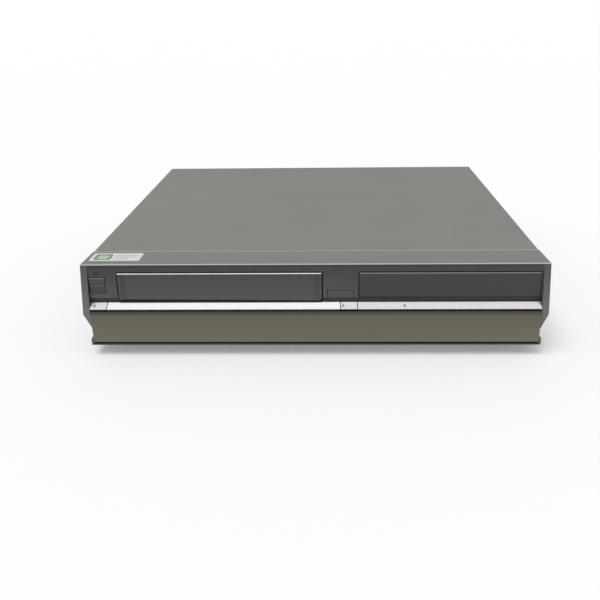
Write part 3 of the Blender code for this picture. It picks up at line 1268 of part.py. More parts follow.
def deck_chassis():
    """The deck plate with the posts of the reels and the pinch roller and the capstan's hole."""
    deck = block("deck_chassis", (DECK_X - DECK_HALF, DECK_FRONT_Y, DECK_BOTTOM),
                 (DECK_X + DECK_HALF, DECK_BACK_Y, DECK_TOP), "zinc_sheet")
    base = DECK_TOP - DECK_SHEET / 2
    bm = bmesh.new()
    reel_post = REEL_HUB_HEIGHT + DECK_SHEET / 2
    for side in (-1, 1):
        add_turned(bm, rod_profile(REEL_POST_RADIUS, reel_post),
                   (DECK_X + side * REEL_SPREAD, REEL_Y, base), (0, 0, 1), SMALL_STEPS)
    add_turned(bm, rod_profile(PINCH_POST_RADIUS, PINCH_RISE + PINCH_HEIGHT),
               (CAPSTAN_X, PINCH_Y, base), (0, 0, 1), SMALL_STEPS)
    join(deck, place_mesh("deck_posts", bm, "steel", (0, 0, 0)))
    cut(deck, rods("capstan_hole", [(CAPSTAN_X, CAPSTAN_Y, DECK_BOTTOM - OVERRUN)], (0, 0, 1),
                   CAPSTAN_RADIUS + CLEARANCE, DECK_SHEET + 2 * OVERRUN, SMALL_STEPS,
                   "zinc_sheet"))


def arch_outline(outer_half, bottom, top, sheet):
    """An upside-down channel about the deck's middle."""
    inner = outer_half - sheet
    shape = [(-outer_half, bottom), (-outer_half, top), (outer_half, top), (outer_half, bottom),
             (inner, bottom), (inner, top - sheet), (-inner, top - sheet), (-inner, bottom)]
    return [(DECK_X + x, z) for x, z in shape]


def loading_frame():
    """The fixed arch over the cassette bay, with a window in its top."""
    back = CASSETTE_IN_BACK_Y + RUNNING
    outline = arch_outline(LOADING_HALF, DECK_TOP + CLEARANCE, LOADING_TOP, LOADING_SHEET)
    arch = prism("loading_frame", outline, "Y", DECK_FRONT_Y, back, "zinc_sheet")
    cut(arch, block("loading_window", (DECK_X - LOADING_WINDOW_HALF,
                                       DECK_FRONT_Y + LOADING_WINDOW_FRONT,
                                       LOADING_TOP - LOADING_SHEET - OVERRUN),
                    (DECK_X + LOADING_WINDOW_HALF, back - LOADING_BAR, LOADING_TOP + OVERRUN),
                    "zinc_sheet"))


def loading_slide():
    """The sliding arch that carries the cassette carriage back; only its rear is bridged."""
    bottom = DECK_TOP + SLIDE_FOOT_GAP
    back = CARRIAGE_BACK_Y - SLIDE_SHORTENING
    outline = arch_outline(SLIDE_HALF, bottom, SLIDE_TOP, SLIDE_SHEET)
    arch = prism("loading_slide", outline, "Y", DECK_FRONT_Y + RUNNING, back, "steel")
    inner = SLIDE_HALF - SLIDE_SHEET
    cut(arch, block("slide_gap", (DECK_X - inner, DECK_FRONT_Y - OVERRUN, CARRIAGE_TOP),
                    (DECK_X + inner, back - SLIDE_BAR_DEPTH, SLIDE_TOP + OVERRUN), "steel"))


def cassette_carriage():
    """The carriage: a flat channel that is open at both ends and under the reels."""
    outer = CARRIAGE_HALF
    inner = CARRIAGE_INNER
    sheet = CARRIAGE_SHEET
    ledge = inner - CARRIAGE_LEDGE
    bottom = SILL_Z
    shape = [(-outer, bottom), (-outer, CARRIAGE_TOP), (outer, CARRIAGE_TOP), (outer, bottom),
             (ledge, bottom), (ledge, bottom + sheet), (inner, bottom + sheet),
             (inner, CARRIAGE_TOP - sheet), (-inner, CARRIAGE_TOP - sheet),
             (-inner, bottom + sheet), (-ledge, bottom + sheet), (-ledge, bottom)]
    outline = [(DECK_X + x, z) for x, z in shape]
    prism("cassette_carriage", outline, "Y", DECK_FRONT_Y + RUNNING, CARRIAGE_BACK_Y, "steel")


def reels():
    """The supply and take-up reels, each a toothless table with a tall hub on its post."""
    bore = REEL_POST_RADIUS + CLEARANCE
    profile = [(bore, 0), (REEL_BASE_RADIUS, 0), (REEL_BASE_RADIUS, REEL_BASE_HEIGHT),
               (REEL_HUB_RADIUS, REEL_BASE_HEIGHT), (REEL_HUB_RADIUS, REEL_HUB_HEIGHT),
               (bore, REEL_HUB_HEIGHT)]
    for side, name in ((-1, "supply_reel"), (1, "takeup_reel")):
        centre = (DECK_X + side * REEL_SPREAD, REEL_Y, DECK_TOP + CLEARANCE)
        turned(name, profile, centre, (0, 0, 1), TURNED_STEPS, "grey_plastic")


def drum():
    """The leaning drum: a fixed lower half that stands on the deck and a turning upper half."""
    foot = Vector((DRUM_X, DRUM_Y, DECK_TOP))
    sink = DRUM_RADIUS * math.tan(DRUM_TILT) + OVERRUN
    start = foot - DRUM_AXIS * sink
    base = turned("drum_base", rod_profile(DRUM_RADIUS, sink + DRUM_BASE_HEIGHT), start, DRUM_AXIS,
                  WIDE_STEPS, "steel")
    reach = 2 * DRUM_RADIUS
    cut(base, block("drum_seat", (DRUM_X - reach, DRUM_Y - reach, DECK_TOP - reach),
                    (DRUM_X + reach, DRUM_Y + reach, DECK_TOP + CLEARANCE), "steel"))
    profile = [(0, 0), (DRUM_RADIUS, 0), (DRUM_RADIUS, DRUM_HEAD_HEIGHT),
               (DRUM_CAP_RADIUS, DRUM_HEAD_HEIGHT),
               (DRUM_CAP_RADIUS, DRUM_HEAD_HEIGHT + DRUM_CAP_HEIGHT),
               (0, DRUM_HEAD_HEIGHT + DRUM_CAP_HEIGHT)]
    centre = foot + DRUM_AXIS * (DRUM_BASE_HEIGHT + CLEARANCE)
    turned("head_drum", profile, centre, DRUM_AXIS, WIDE_STEPS, "steel")


def capstan_flywheel():
    """The flywheel under the deck with the capstan shaft that rises through it."""
    top = DECK_BOTTOM - FLYWHEEL_DROP
    bottom = top - FLYWHEEL_HEIGHT
    profile = [(0, 0), (FLYWHEEL_RADIUS, 0), (FLYWHEEL_RADIUS, FLYWHEEL_HEIGHT),
               (CAPSTAN_RADIUS, FLYWHEEL_HEIGHT),
               (CAPSTAN_RADIUS, DECK_TOP + CAPSTAN_HEIGHT - bottom),
               (0, DECK_TOP + CAPSTAN_HEIGHT - bottom)]
    turned("capstan_flywheel", profile, (CAPSTAN_X, CAPSTAN_Y, bottom), (0, 0, 1),
           TURNED_STEPS, "steel")


def pinch_roller():
    """The rubber pinch roller on its post beside the capstan."""
    profile = ring_profile(PINCH_POST_RADIUS + CLEARANCE, PINCH_RADIUS, PINCH_HEIGHT)
    turned("pinch_roller", profile, (CAPSTAN_X, PINCH_Y, DECK_TOP + PINCH_RISE - DECK_SHEET),
           (0, 0, 1), TURNED_STEPS, "rubber")


def audio_control_head():
    """The fixed head between the drum and the capstan."""
    x = DECK_X + HEAD_BLOCK_OFFSET
    y = CASSETTE_IN_BACK_Y + HEAD_BLOCK_GAP_BEHIND
    half = HEAD_BLOCK / 2
    z = DECK_TOP + CLEARANCE
    block("audio_control_head", (x - half, y - half, z), (x + half, y + half, z + HEAD_BLOCK_HEIGHT),
          "steel")


def build():
    """Make every piece of the machine."""
    clear_scene()
    front_bezel()
    bright_strip()
    power_button()
    small_windows()
    lower_door()
    cassette_flap()
    control_panel()
    bottom_chassis()
    rear_panel()
    top_cover()
    cover_screws()
    feet()
    main_board()
    power_supply_board()
    transformer()
    rear_jack_block()
    antenna_tuner()
    ac_inlet()
    fan()
    drive_frame()
    clamp_bridge()
    disc_clamper()
    disc_tray()
    tray_front()
    traverse_chassis()
    guide_rods()
    spindle_motor()
    turntable()
    optical_pickup()
    deck_chassis()
    loading_frame()
    loading_slide()
    cassette_carriage()
    reels()
    drum()
    capstan_flywheel()
    pinch_roller()
    audio_control_head()


build()
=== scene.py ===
"""Looks for a silver disc and cassette recorder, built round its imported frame.

Metres, +Z up, the front towards -Y. New pieces are worked out with numpy as whole arrays:
stacks of outlines, profiles turned about an axis and profiles carried along a line.
"""
import json
import math

import bmesh
import bpy
import numpy as np
from mathutils import Matrix, Vector


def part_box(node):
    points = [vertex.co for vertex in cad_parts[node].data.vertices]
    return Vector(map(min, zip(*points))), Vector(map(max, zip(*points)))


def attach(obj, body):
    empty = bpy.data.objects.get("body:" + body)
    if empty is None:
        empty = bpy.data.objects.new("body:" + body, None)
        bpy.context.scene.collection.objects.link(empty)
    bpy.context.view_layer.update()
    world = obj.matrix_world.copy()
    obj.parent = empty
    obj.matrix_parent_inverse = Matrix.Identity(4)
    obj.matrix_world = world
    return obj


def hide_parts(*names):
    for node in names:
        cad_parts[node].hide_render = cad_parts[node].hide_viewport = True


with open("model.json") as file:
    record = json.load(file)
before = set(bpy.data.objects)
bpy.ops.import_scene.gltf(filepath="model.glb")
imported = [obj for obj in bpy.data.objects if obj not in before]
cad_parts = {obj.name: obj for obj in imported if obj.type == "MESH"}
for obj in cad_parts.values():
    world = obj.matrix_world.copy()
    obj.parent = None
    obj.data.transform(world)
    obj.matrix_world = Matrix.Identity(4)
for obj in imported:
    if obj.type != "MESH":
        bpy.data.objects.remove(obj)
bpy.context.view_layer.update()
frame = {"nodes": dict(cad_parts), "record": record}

# Mesh making
MM = 0.001
MERGE = 1e-6
WELD = 2e-5
SHORT_EDGE = 9e-5
TOUCH = 1e-4
SQUARE_ON = 0.9
FLAT_ANGLE = math.radians(1)
CORNER_ANGLE = math.radians(35)
WIDE_STEPS = 96
ROUND_STEPS = 64
SMALL_STEPS = 32
DOME_STEPS = 8
FILLET_STEPS = 5

# Widths of eased corners and thin things
FINE_EDGE = 0.0002
PLAIN_EDGE = 0.0003
SOFT_EDGE = 0.0004
INK = 0.00004

# Places on the machine, as the frame has them
CASE_TOP = 0.089
TOP_EDGE_Y = -0.1715
LEDGE_BACK = (-0.1745, 0.0521)
LEDGE_FRONT = (-0.1805, 0.0477)
FRONT_Y = -0.182
SEAM_Y = -0.1395
SIDE_DRAUGHT = 0.0014
PANEL_BACK_Y = 0.1772
HALF_WIDTH = 0.215
DOOR_HALF = 0.2085
DECK_TOP = 0.0305
BOARD_TOP = 0.0199

# Camera, from the photograph's own lines
CAMERA_PLACE = (0.0161, -0.6908, 0.3117)
CAMERA_PITCH = math.radians(21.0)
CAMERA_YAW = math.radians(-1.49)
CAMERA_ROLL = math.radians(0.80)
CAMERA_LENS = 37.29
CAMERA_SHIFT = (-0.0267, -0.1)

SLOT_OF = {part["node"]: part["material_slot"] for part in frame["record"]["subparts"]}
BODY_OF = {name: body for body, names in frame["record"]["behaviour"]["bodies"].items()
           for name in names}


def unit(vector):
    """A vector made one long."""
    vector = np.array(vector, float)
    return vector / np.linalg.norm(vector)


ACROSS = np.array([1.0, 0, 0])
TO_FRONT, TO_BACK, TO_TOP = (0, -1, 0), (0, 1, 0), (0, 0, 1)
FACE_UP = unit((0, TOP_EDGE_Y - LEDGE_BACK[0], CASE_TOP - LEDGE_BACK[1]))
LEDGE_UP = unit((0, LEDGE_BACK[0] - LEDGE_FRONT[0], LEDGE_BACK[1] - LEDGE_FRONT[1]))
FACE_OUT, LEDGE_OUT = np.cross(ACROSS, FACE_UP), np.cross(ACROSS, LEDGE_UP)


# ---- shader groups and finishes


def tone(red, green, blue):
    """A colour as it looks on a screen, from 0 to 255, made linear."""
    shares = np.array([red, green, blue]) / 255
    linear = np.where(shares <= 0.04045, shares / 12.92, ((shares + 0.055) / 1.055) ** 2.4)
    return (*linear.tolist(), 1)


def node(tree, kind, inputs=None, **settings):
    """A shader node; an input that is a socket is linked, any other is set."""
    made = tree.nodes.new("ShaderNode" + kind)
    for key, value in settings.items():
        setattr(made, key, value)
    for key, value in (inputs or {}).items():
        if isinstance(value, bpy.types.NodeSocket):
            tree.links.new(value, made.inputs[key])
        else:
            made.inputs[key].default_value = value
    return made


def noise(tree, place, scale, detail, roughness=0.5):
    """Noise over a place."""
    return node(tree, "TexNoise", {"Vector": place, "Scale": scale, "Detail": detail,
                                   "Roughness": roughness}).outputs["Fac"]


def maths(tree, operation, first, second, clamp=False):
    """The sum or product of two values."""
    return node(tree, "Math", {0: first, 1: second}, operation=operation,
                use_clamp=clamp).outputs[0]


def ranged(tree, value, low, high, first=0.0, last=1.0):
    """A value carried from the range low to high over to the range first to last."""
    return node(tree, "MapRange", {"Value": value, "From Min": low, "From Max": high,
                                   "To Min": first, "To Max": last}).outputs[0]


def mixed(tree, factor, first, second):
    """A mix of two colours."""
    return node(tree, "Mix", {0: factor, 6: first, 7: second}, data_type="RGBA").outputs[2]


def grain_wiring(tree, given):
    """Moulded grain: fine noise for height, and the mean of fine and wide noise for shade."""
    fine = noise(tree, given["Vector"], given["Scale"], 3)
    wide = noise(tree, given["Vector"], given["Cloud Scale"], 4)
    return {"Height": fine,
            "Shade": maths(tree, "MULTIPLY", maths(tree, "ADD", wide, fine), 0.5)}


def brushed_wiring(tree, given):
    """Brushed lines: noise stretched along one direction, clouded a little for shade."""
    drawn = node(tree, "VectorMath", {0: given["Vector"], 1: given["Stretch"]},
                 operation="MULTIPLY").outputs[0]
    lines = noise(tree, drawn, 1, 5, 0.65)
    cloud = noise(tree, given["Vector"], 22, 3)
    return {"Height": lines, "Shade": node(tree, "Mix", {0: 0.3, 2: lines, 3: cloud}).outputs[0]}


def wear_wiring(tree, given):
    """Edge wear: where the rounded normal leaves the true one, broken up by noise."""
    rounded = node(tree, "Bevel", {"Radius": given["Radius"]}, samples=4).outputs["Normal"]
    true = node(tree, "NewGeometry").outputs["Normal"]
    facing_one = node(tree, "VectorMath", {0: rounded, 1: true}, operation="DOT_PRODUCT")
    edge = ranged(tree, facing_one.outputs["Value"], 1.0, 0.8)
    broken = ranged(tree, noise(tree, given["Vector"], 160, 4), 0.42, 0.6, 0.25, 1.0)
    return {"Mask": maths(tree, "MULTIPLY", edge, broken, clamp=True)}


def dust_wiring(tree, given):
    """Settled dust: on what faces up, in soft patches."""
    normal = node(tree, "NewGeometry").outputs["Normal"]
    upward = ranged(tree, node(tree, "SeparateXYZ", {0: normal}).outputs["Z"], 0.6, 1.0)
    patches = ranged(tree, noise(tree, given["Vector"], 14, 8, 0.62), 0.35, 0.7)
    lying_there = maths(tree, "MULTIPLY", upward, patches)
    return {"Mask": maths(tree, "MULTIPLY", lying_there, given["Amount"], clamp=True)}


def group(name, values, wiring):
    """A shader group: a Vector and some values go in, and what its wiring names comes out."""
    tree = bpy.data.node_groups.new(name, "ShaderNodeTree")
    for label, value in {"Vector": (0, 0, 0), **values}.items():
        kind = "NodeSocketVector" if isinstance(value, tuple) else "NodeSocketFloat"
        tree.interface.new_socket(label, in_out="INPUT", socket_type=kind).default_value = value
    results = wiring(tree, tree.nodes.new("NodeGroupInput").outputs)
    for label in results:
        tree.interface.new_socket(label, in_out="OUTPUT", socket_type="NodeSocketFloat")
    end = tree.nodes.new("NodeGroupOutput")
    for label, result in results.items():
        tree.links.new(result, end.inputs[label])
    return tree


GROUPS = {
    "grain": group("moulded_grain", {"Scale": 2500, "Cloud Scale": 30}, grain_wiring),
    "brushed": group("brushed_lines", {"Stretch": (1, 1, 1)}, brushed_wiring),
    "wear": group("edge_wear", {"Radius": 0.0006}, wear_wiring),
    "dust": group("settled_dust", {"Amount": 0.1}, dust_wiring),
}
WORN = tone(150, 150, 148)
DUST = tone(176, 174, 168)
RELIEF_DEPTH = 0.0004
LEAST_ROUGHNESS = 0.02


def finish(name, colour, roughness, metallic, grain=2500, cloud=30, stretch=None, relief=0.02,
           spread=0.06, rough_spread=0.06, wear=0.0, dust=0.0, coat=0.0, specular=0.5, painted_gradients=()):
    """A material: a colour that drifts with its grain or brushing, worn edges and dust. Each
    painted gradient (axis, low, high, gain) paints light and shade into it, making it lighter
    from its high end down to its low one."""
    material = bpy.data.materials.new(name)
    material.use_nodes = True
    tree = material.node_tree
    shader = tree.nodes["Principled BSDF"]
    place = node(tree, "TexCoord").outputs["Object"]
    base = np.array(tone(*colour)[:3])

    def placed(key, **values):
        """The outputs of one of the shared groups, placed here with its own values."""
        values = {label.replace("_", " "): value for label, value in values.items()}
        return node(tree, "Group", {"Vector": place, **values}, node_tree=GROUPS[key]).outputs

    def times(gain):
        """The base colour made darker or lighter."""
        return (*np.minimum(base * gain, 1).tolist(), 1)

    if stretch:
        pattern = placed("brushed", Stretch=stretch)
    else:
        pattern = placed("grain", Scale=grain, Cloud_Scale=cloud)
    shade = pattern["Shade"]
    tint = mixed(tree, shade, times(1 - 2 * spread), times(1 + 2 * spread))
    for axis, low, high, gain in painted_gradients:
        along = node(tree, "SeparateXYZ", {0: place}).outputs[axis]
        tint = mixed(tree, ranged(tree, along, low, high, 1.0, 0.0), tint, times(gain))
    if wear:
        tint = mixed(tree, maths(tree, "MULTIPLY", placed("wear")["Mask"], wear), tint, WORN)
    if dust:
        tint = mixed(tree, placed("dust", Amount=dust)["Mask"], tint, DUST)
    rough = ranged(tree, shade, 0.3, 0.7, max(roughness - rough_spread, LEAST_ROUGHNESS),
                   roughness + rough_spread)
    bump = node(tree, "Bump", {"Height": pattern["Height"], "Strength": relief,
                               "Distance": RELIEF_DEPTH}).outputs["Normal"]
    for label, socket in (("Base Color", tint), ("Roughness", rough), ("Normal", bump)):
        tree.links.new(socket, shader.inputs[label])
    for label, value in (("Metallic", metallic), ("Coat Weight", coat),
                         ("Specular IOR Level", specular)):
        shader.inputs[label].default_value = value
    return material


MOULDED = {"grain": 4200, "relief": 0.05, "spread": 0.04, "wear": 0.2}
BRUSHED = {"stretch": (30, 900, 2600), "relief": 0.03, "spread": 0.05, "wear": 0.2}
FINE_BRUSHED = {"stretch": (40, 2500, 2500), "relief": 0.004, "spread": 0.01}

# Each finish: its colour on a screen, its roughness, how metallic it is, and what else it has
LOOKS = {
    # painted light: the cover is painted lighter towards the front
    "cover_silver": ((117, 118, 113), 0.55, 0.12, dict(
        grain=3200, cloud=9, relief=0.10, spread=0.075, wear=0.25, dust=0.08, specular=0.25,
        painted_gradients=[("Y", -0.15, 0.20, 1.15)])),
    "strip_silver": ((121, 122, 118), 0.5, 0.12, dict(MOULDED, wear=0.25, specular=0.25)),
    # painted highlight: the pale finish of the cover's front edge
    "painted_hem_highlight": ((205, 206, 202), 0.4, 0.2, dict(relief=0.0, spread=0.04)),
    # painted shade: a darker copy of the front's silver for the upright faces and the power
    # button, painted lighter towards the bottom
    "shaded_face_silver": ((63, 63, 62), 0.42, 0.25, dict(MOULDED, painted_gradients=[("Z", 0.056, 0.082, 1.7)])),
    # painted light: a lighter copy of the front's silver for the posts beside the door, painted
    # lighter still towards the bottom
    "lit_post_silver": ((84, 85, 82), 0.42, 0.25, dict(MOULDED, painted_gradients=[("Z", 0.046, 0.086, 1.75)])),
    # painted light: the flap is painted lighter towards its bottom
    "flap_silver": ((68, 68, 66), 0.30, 0.35, dict(BRUSHED, painted_gradients=[("Z", 0.053, 0.081, 1.5)])),
    "tray_silver": ((60, 60, 58), 0.30, 0.35, BRUSHED),
    # painted highlight: the pale finish of rounded edges that catch the light
    "painted_edge_highlight": ((188, 188, 186), 0.3, 0.3, dict(relief=0.0, spread=0.04)),
    # painted highlight: a softer pale finish for upper front edges
    "painted_soft_highlight": ((122, 122, 119), 0.3, 0.3, dict(relief=0.0, spread=0.04)),
    # painted shade: for the floor of the groove over the strip
    "painted_groove_shade": ((42, 42, 40), 0.5, 0.1, dict(relief=0.03, spread=0.05)),
    # painted shade: near black, for gaps, opening walls, rims, grooves and the nose under the
    # strip, where shade falls
    "painted_shadow_dark": ((30, 29, 28), 0.5, 0.0, dict(relief=0.03, spread=0.08)),
    "bright_metal": ((246, 246, 250), 0.26, 0.75, FINE_BRUSHED),
    # painted shade: a darker copy of the bright metal for the strip's right length and its
    # buttons
    "shaded_bright_metal": ((224, 224, 229), 0.26, 0.75, FINE_BRUSHED),
    # painted reflection: the mirror door is painted dark along its top, where the strip's shade
    # is reflected, and lighter towards the bottom
    "door_mirror": ((66, 63, 56), 0.05, 1.0, dict(
        grain=60, relief=0.0, spread=0.02, rough_spread=0.02,
        painted_gradients=[("Z", 0.0405, 0.0455, 2.55), ("Z", 0.013, 0.0405, 3.25)])),
    # painted shade: for the lip under the door
    "painted_lip_shade": ((44, 42, 42), 0.45, 0.1, dict(relief=0.04)),
    "smoked_glass": ((20, 20, 22), 0.10, 0.0, dict(relief=0.0, spread=0.02, coat=0.5)),
    "dull_window": ((44, 44, 46), 0.22, 0.0, dict(relief=0.0, spread=0.03, coat=0.3)),
    "receiver_tint": ((62, 62, 63), 0.22, 0.0, dict(relief=0.0, spread=0.03, coat=0.3)),
    "panel_grey": ((72, 72, 74), 0.45, 0.15, dict(relief=0.06, spread=0.05)),
    "key_black": ((34, 34, 36), 0.35, 0.0, dict(relief=0.05, spread=0.05, wear=0.15)),
    "black_plastic": ((30, 30, 31), 0.5, 0.0, dict(relief=0.10, spread=0.10, wear=0.2)),
    "zinc_sheet": ((168, 170, 168), 0.36, 0.85, dict(stretch=(18, 900, 220), relief=0.05,
                                                     spread=0.07, wear=0.2, dust=0.08)),
    "polished_steel": ((196, 197, 199), 0.2, 1.0, dict(stretch=(600, 40, 600), spread=0.03)),
    "drum_metal": ((205, 206, 208), 0.15, 1.0, dict(stretch=(60, 60, 2500), relief=0.03,
                                                    spread=0.03)),
    "rubber": ((24, 24, 24), 0.8, 0.0, dict(grain=900, relief=0.2, spread=0.12, dust=0.1)),
    "grey_plastic": ((92, 92, 95), 0.5, 0.0, dict(relief=0.08)),
    "board_green": ((24, 92, 48), 0.38, 0.0, dict(grain=400, relief=0.15, spread=0.25,
                                                  coat=0.3)),
    "label_white": ((214, 215, 212), 0.5, 0.0, dict(grain=1800, relief=0.03, spread=0.02)),
    "label_green": ((92, 140, 84), 0.5, 0.0, dict(grain=900, spread=0.10)),
    "line_grey": ((150, 151, 150), 0.5, 0.0, dict(grain=2200, relief=0.0)),
    "mark_ink": ((30, 30, 33), 0.5, 0.0, dict(relief=0.0, spread=0.05)),
    "mark_pale": ((205, 205, 205), 0.5, 0.0, dict(relief=0.0, spread=0.03)),
    "mark_red": ((190, 40, 36), 0.5, 0.0, dict(relief=0.0, spread=0.05)),
    "ring_yellow": ((226, 186, 40), 0.4, 0.0, dict(relief=0.03)),
    "ring_white": ((226, 226, 222), 0.4, 0.0, dict(relief=0.03)),
    "ring_red": ((186, 36, 34), 0.4, 0.0, dict(relief=0.03)),
    "ring_blue": ((44, 74, 170), 0.4, 0.0, dict(relief=0.03)),
    "ring_green": ((40, 130, 70), 0.4, 0.0, dict(relief=0.03)),
    "can_sleeve": ((28, 34, 52), 0.3, 0.0, dict(relief=0.0, spread=0.05, coat=0.4)),
    "tape_amber": ((176, 128, 44), 0.35, 0.0, dict(stretch=(20, 20, 900), relief=0.05,
                                                   spread=0.08)),
    "cable_pale": ((196, 196, 190), 0.45, 0.0, dict(stretch=(1400, 0.5, 0.5), relief=0.08,
                                                    spread=0.12)),
    "lens_glass": ((60, 66, 110), 0.06, 0.0, dict(relief=0.0, coat=1.0)),
}
FINISHES = {name: finish(name, colour, roughness, metallic, **more)
            for name, (colour, roughness, metallic, more) in LOOKS.items()}


# ---- making and placing pieces


def mm(values):
    """A table in millimetres made metres."""
    return np.array(values, float) * MM


def box(name):
    """A node's low corner, high corner and middle."""
    low, high = (np.array(corner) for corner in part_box(name))
    return low, high, (low + high) / 2


def settle(piece, body, slot, *nodes):
    """Let a piece ride on its body and hide the nodes it stands for. The slot is not used."""
    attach(piece, body)
    if nodes:
        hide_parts(*nodes)
    return piece


def quads(rows, columns, wrap_rows=False):
    """Corner numbers of the four-sided faces of a grid of points that closes row by row."""
    row = np.arange(rows if wrap_rows else rows - 1)
    row, column = np.meshgrid(row, np.arange(columns), indexing="ij")
    after, beside = (row + 1) % rows, (column + 1) % columns
    corners = (row * columns + column, row * columns + beside,
               after * columns + beside, after * columns + column)
    return np.stack(corners, axis=-1).reshape(-1, 4).tolist()


def smooth_sides(mesh, flat):
    """Shade a mesh flat, or smooth up to its corners."""
    if flat:
        mesh.shade_flat()
        return
    mesh.shade_smooth()
    mesh.set_sharp_from_angle(angle=CORNER_ANGLE)


def link_mesh(name, mesh, finish_name, flat=False):
    """An object of a finished mesh with its material, with flat or smooth sides."""
    mesh.materials.clear()
    mesh.materials.append(FINISHES[finish_name])
    smooth_sides(mesh, flat)
    piece = bpy.data.objects.new(name, mesh)
    bpy.context.scene.collection.objects.link(piece)
    return piece


def made_of(name, solids, finish_name):
    """One object of several (points, faces) solids, with doubles merged and faces outwards."""
    points, faces, count = [], [], 0
    for solid_points, solid_faces in solids:
        points.append(np.asarray(solid_points, float).reshape(-1, 3))
        faces += [[int(corner) + count for corner in face] for face in solid_faces]
        count += len(points[-1])
    mesh = bpy.data.meshes.new(name)
    mesh.from_pydata(np.concatenate(points).tolist(), [], faces)
    bm = bmesh.new()
    bm.from_mesh(mesh)
    bmesh.ops.remove_doubles(bm, verts=bm.verts, dist=MERGE)
    bmesh.ops.recalc_face_normals(bm, faces=bm.faces)
    bm.to_mesh(mesh)
    bm.free()
    return link_mesh(name, mesh, finish_name)


def stacked(layers):
    """The solid whose skin runs through closed outlines in order and is capped at both ends."""
    layers = np.asarray(layers, float)
    count, steps = layers.shape[:2]
    caps = [list(range(steps)), list(range((count - 1) * steps, count * steps))]
    return layers.reshape(-1, 3), quads(count, steps) + caps


def looped(layers):
    """The solid whose skin runs through closed outlines and back to the first, round a bore."""
    return layers.reshape(-1, 3), quads(*layers.shape[:2], wrap_rows=True)


def axes_about(axis):
    """Two directions square to an axis and to each other, and the axis, as unit rows."""
    third = unit(axis)
    first = unit(np.cross(TO_TOP if abs(third[2]) < SQUARE_ON else ACROSS, third))
    return np.array([first, np.cross(third, first), third])


def circle(steps, axis):
    """Unit arrows round an axis: cos a times the first and sin a times the second square one."""
    rows = axes_about(axis)
    angle = np.arange(steps) * math.tau / steps
    return np.cos(angle)[:, None] * rows[0] + np.sin(angle)[:, None] * rows[1]


def turned(profile, centre, axis, steps=ROUND_STEPS):
    """Turn (radius, height) points: centre + radius (cos a, sin a) + height along the axis. A
    profile that starts away from the axis closes on itself round a bore."""
    profile = np.asarray(profile, float)
    layers = (np.array(centre, float) + profile[:, 0, None, None] * circle(steps, axis)
              + profile[:, 1, None, None] * unit(axis))
    return looped(layers) if profile[0, 0] > 0 else stacked(layers)


def filleted(points, radius, closed=True):
    """Round each corner B between A and C: (1-t)^2 P + 2t(1-t) B + t^2 Q, with P and Q a
    radius away from B towards A and C."""
    points = np.asarray(points, float)
    radius = np.broadcast_to(np.asarray(radius, float), len(points)).copy()
    if not closed:
        radius[[0, -1]] = 0
    ends = []
    for step in (1, -1):
        side = np.roll(points, step, axis=0) - points
        length = np.linalg.norm(side, axis=1)
        reach = np.minimum(radius, length * 0.49)
        ends.append((points + side / length[:, None] * reach[:, None])[:, None])
    t = np.linspace(0, 1, FILLET_STEPS)[None, :, None]
    arcs = (1 - t) ** 2 * ends[0] + 2 * t * (1 - t) * points[:, None] + t ** 2 * ends[1]
    return arcs.reshape(-1, points.shape[1])


def inset(outline, amount):
    """Move each point of a closed outline inwards along the line square to its neighbours."""
    along = np.roll(outline, -1, axis=0) - np.roll(outline, 1, axis=0)
    square = np.stack([along[:, 1], -along[:, 0]], axis=1)
    square /= np.maximum(np.linalg.norm(square, axis=1), 1e-12)[:, None]
    x, y = outline.T
    area = np.sum(x * np.roll(y, -1) - np.roll(x, -1) * y)
    return outline - math.copysign(1, area) * square * amount


def at_height(outline, height):
    """A flat outline lifted to a height, as (x, y, h)."""
    return np.column_stack([outline, np.full(len(outline), height)])


def eased(outline, low, high, edge):
    """Closed outlines from low to high, drawn in by a small edge at both ends, as (x, y, h)."""
    outline = np.asarray(outline, float)
    drawn = inset(outline, edge)
    return np.array([at_height(drawn, low), at_height(outline, low + edge),
                     at_height(outline, high - edge), at_height(drawn, high)])


def slab(outline, thickness, place, across, up, edge):
    """A plate with eased edges: its outline runs across and up from a place, and its
    thickness stands out along the product of the two."""
    across, up = unit(across), unit(up)
    rows = np.array([across, up, np.cross(across, up)])
    return stacked(np.array(place) + eased(outline, 0, thickness, edge) @ rows)


def lying(outline, thickness, place, edge):
    """A plate that lies flat, with its thickness upwards."""
    return slab(outline, thickness, place, ACROSS, TO_BACK, edge)


def facing(outline, thickness, place, edge):
    """A plate that stands upright, with its thickness towards the front."""
    return slab(outline, thickness, place, ACROSS, TO_TOP, edge)


def mark(outline, place, up):
    """A mark as thin as ink, on a surface that runs across and up."""
    return slab(outline, INK, place, ACROSS, up, INK / 4)


def bar_along_x(outline, left, right, edge):
    """A (y, z) outline carried from left to right with eased ends."""
    return stacked(eased(outline, left, right, edge)[:, :, [2, 0, 1]])


def rectangle(width, height, middle=(0, 0)):
    """The corners of a rectangle about its middle."""
    shares = np.array([(-0.5, -0.5), (0.5, -0.5), (0.5, 0.5), (-0.5, 0.5)])
    return shares * (width, height) + np.array(middle)


def polygon(count, radius, middle=(0, 0), turn=0.0):
    """The corners of a regular shape, or of a circle when there are many."""
    angle = turn + np.arange(count) * math.tau / count
    return np.stack([np.cos(angle), np.sin(angle)], axis=1) * radius + np.array(middle)


def cut_up(bm, mesh):
    """Cut the many-sided faces up into triangles, which a bevel can go round, and put the
    result into a mesh."""
    bmesh.ops.triangulate(bm, faces=[face for face in bm.faces if len(face.verts) > 4])
    bm.to_mesh(mesh)
    bm.free()
    return mesh


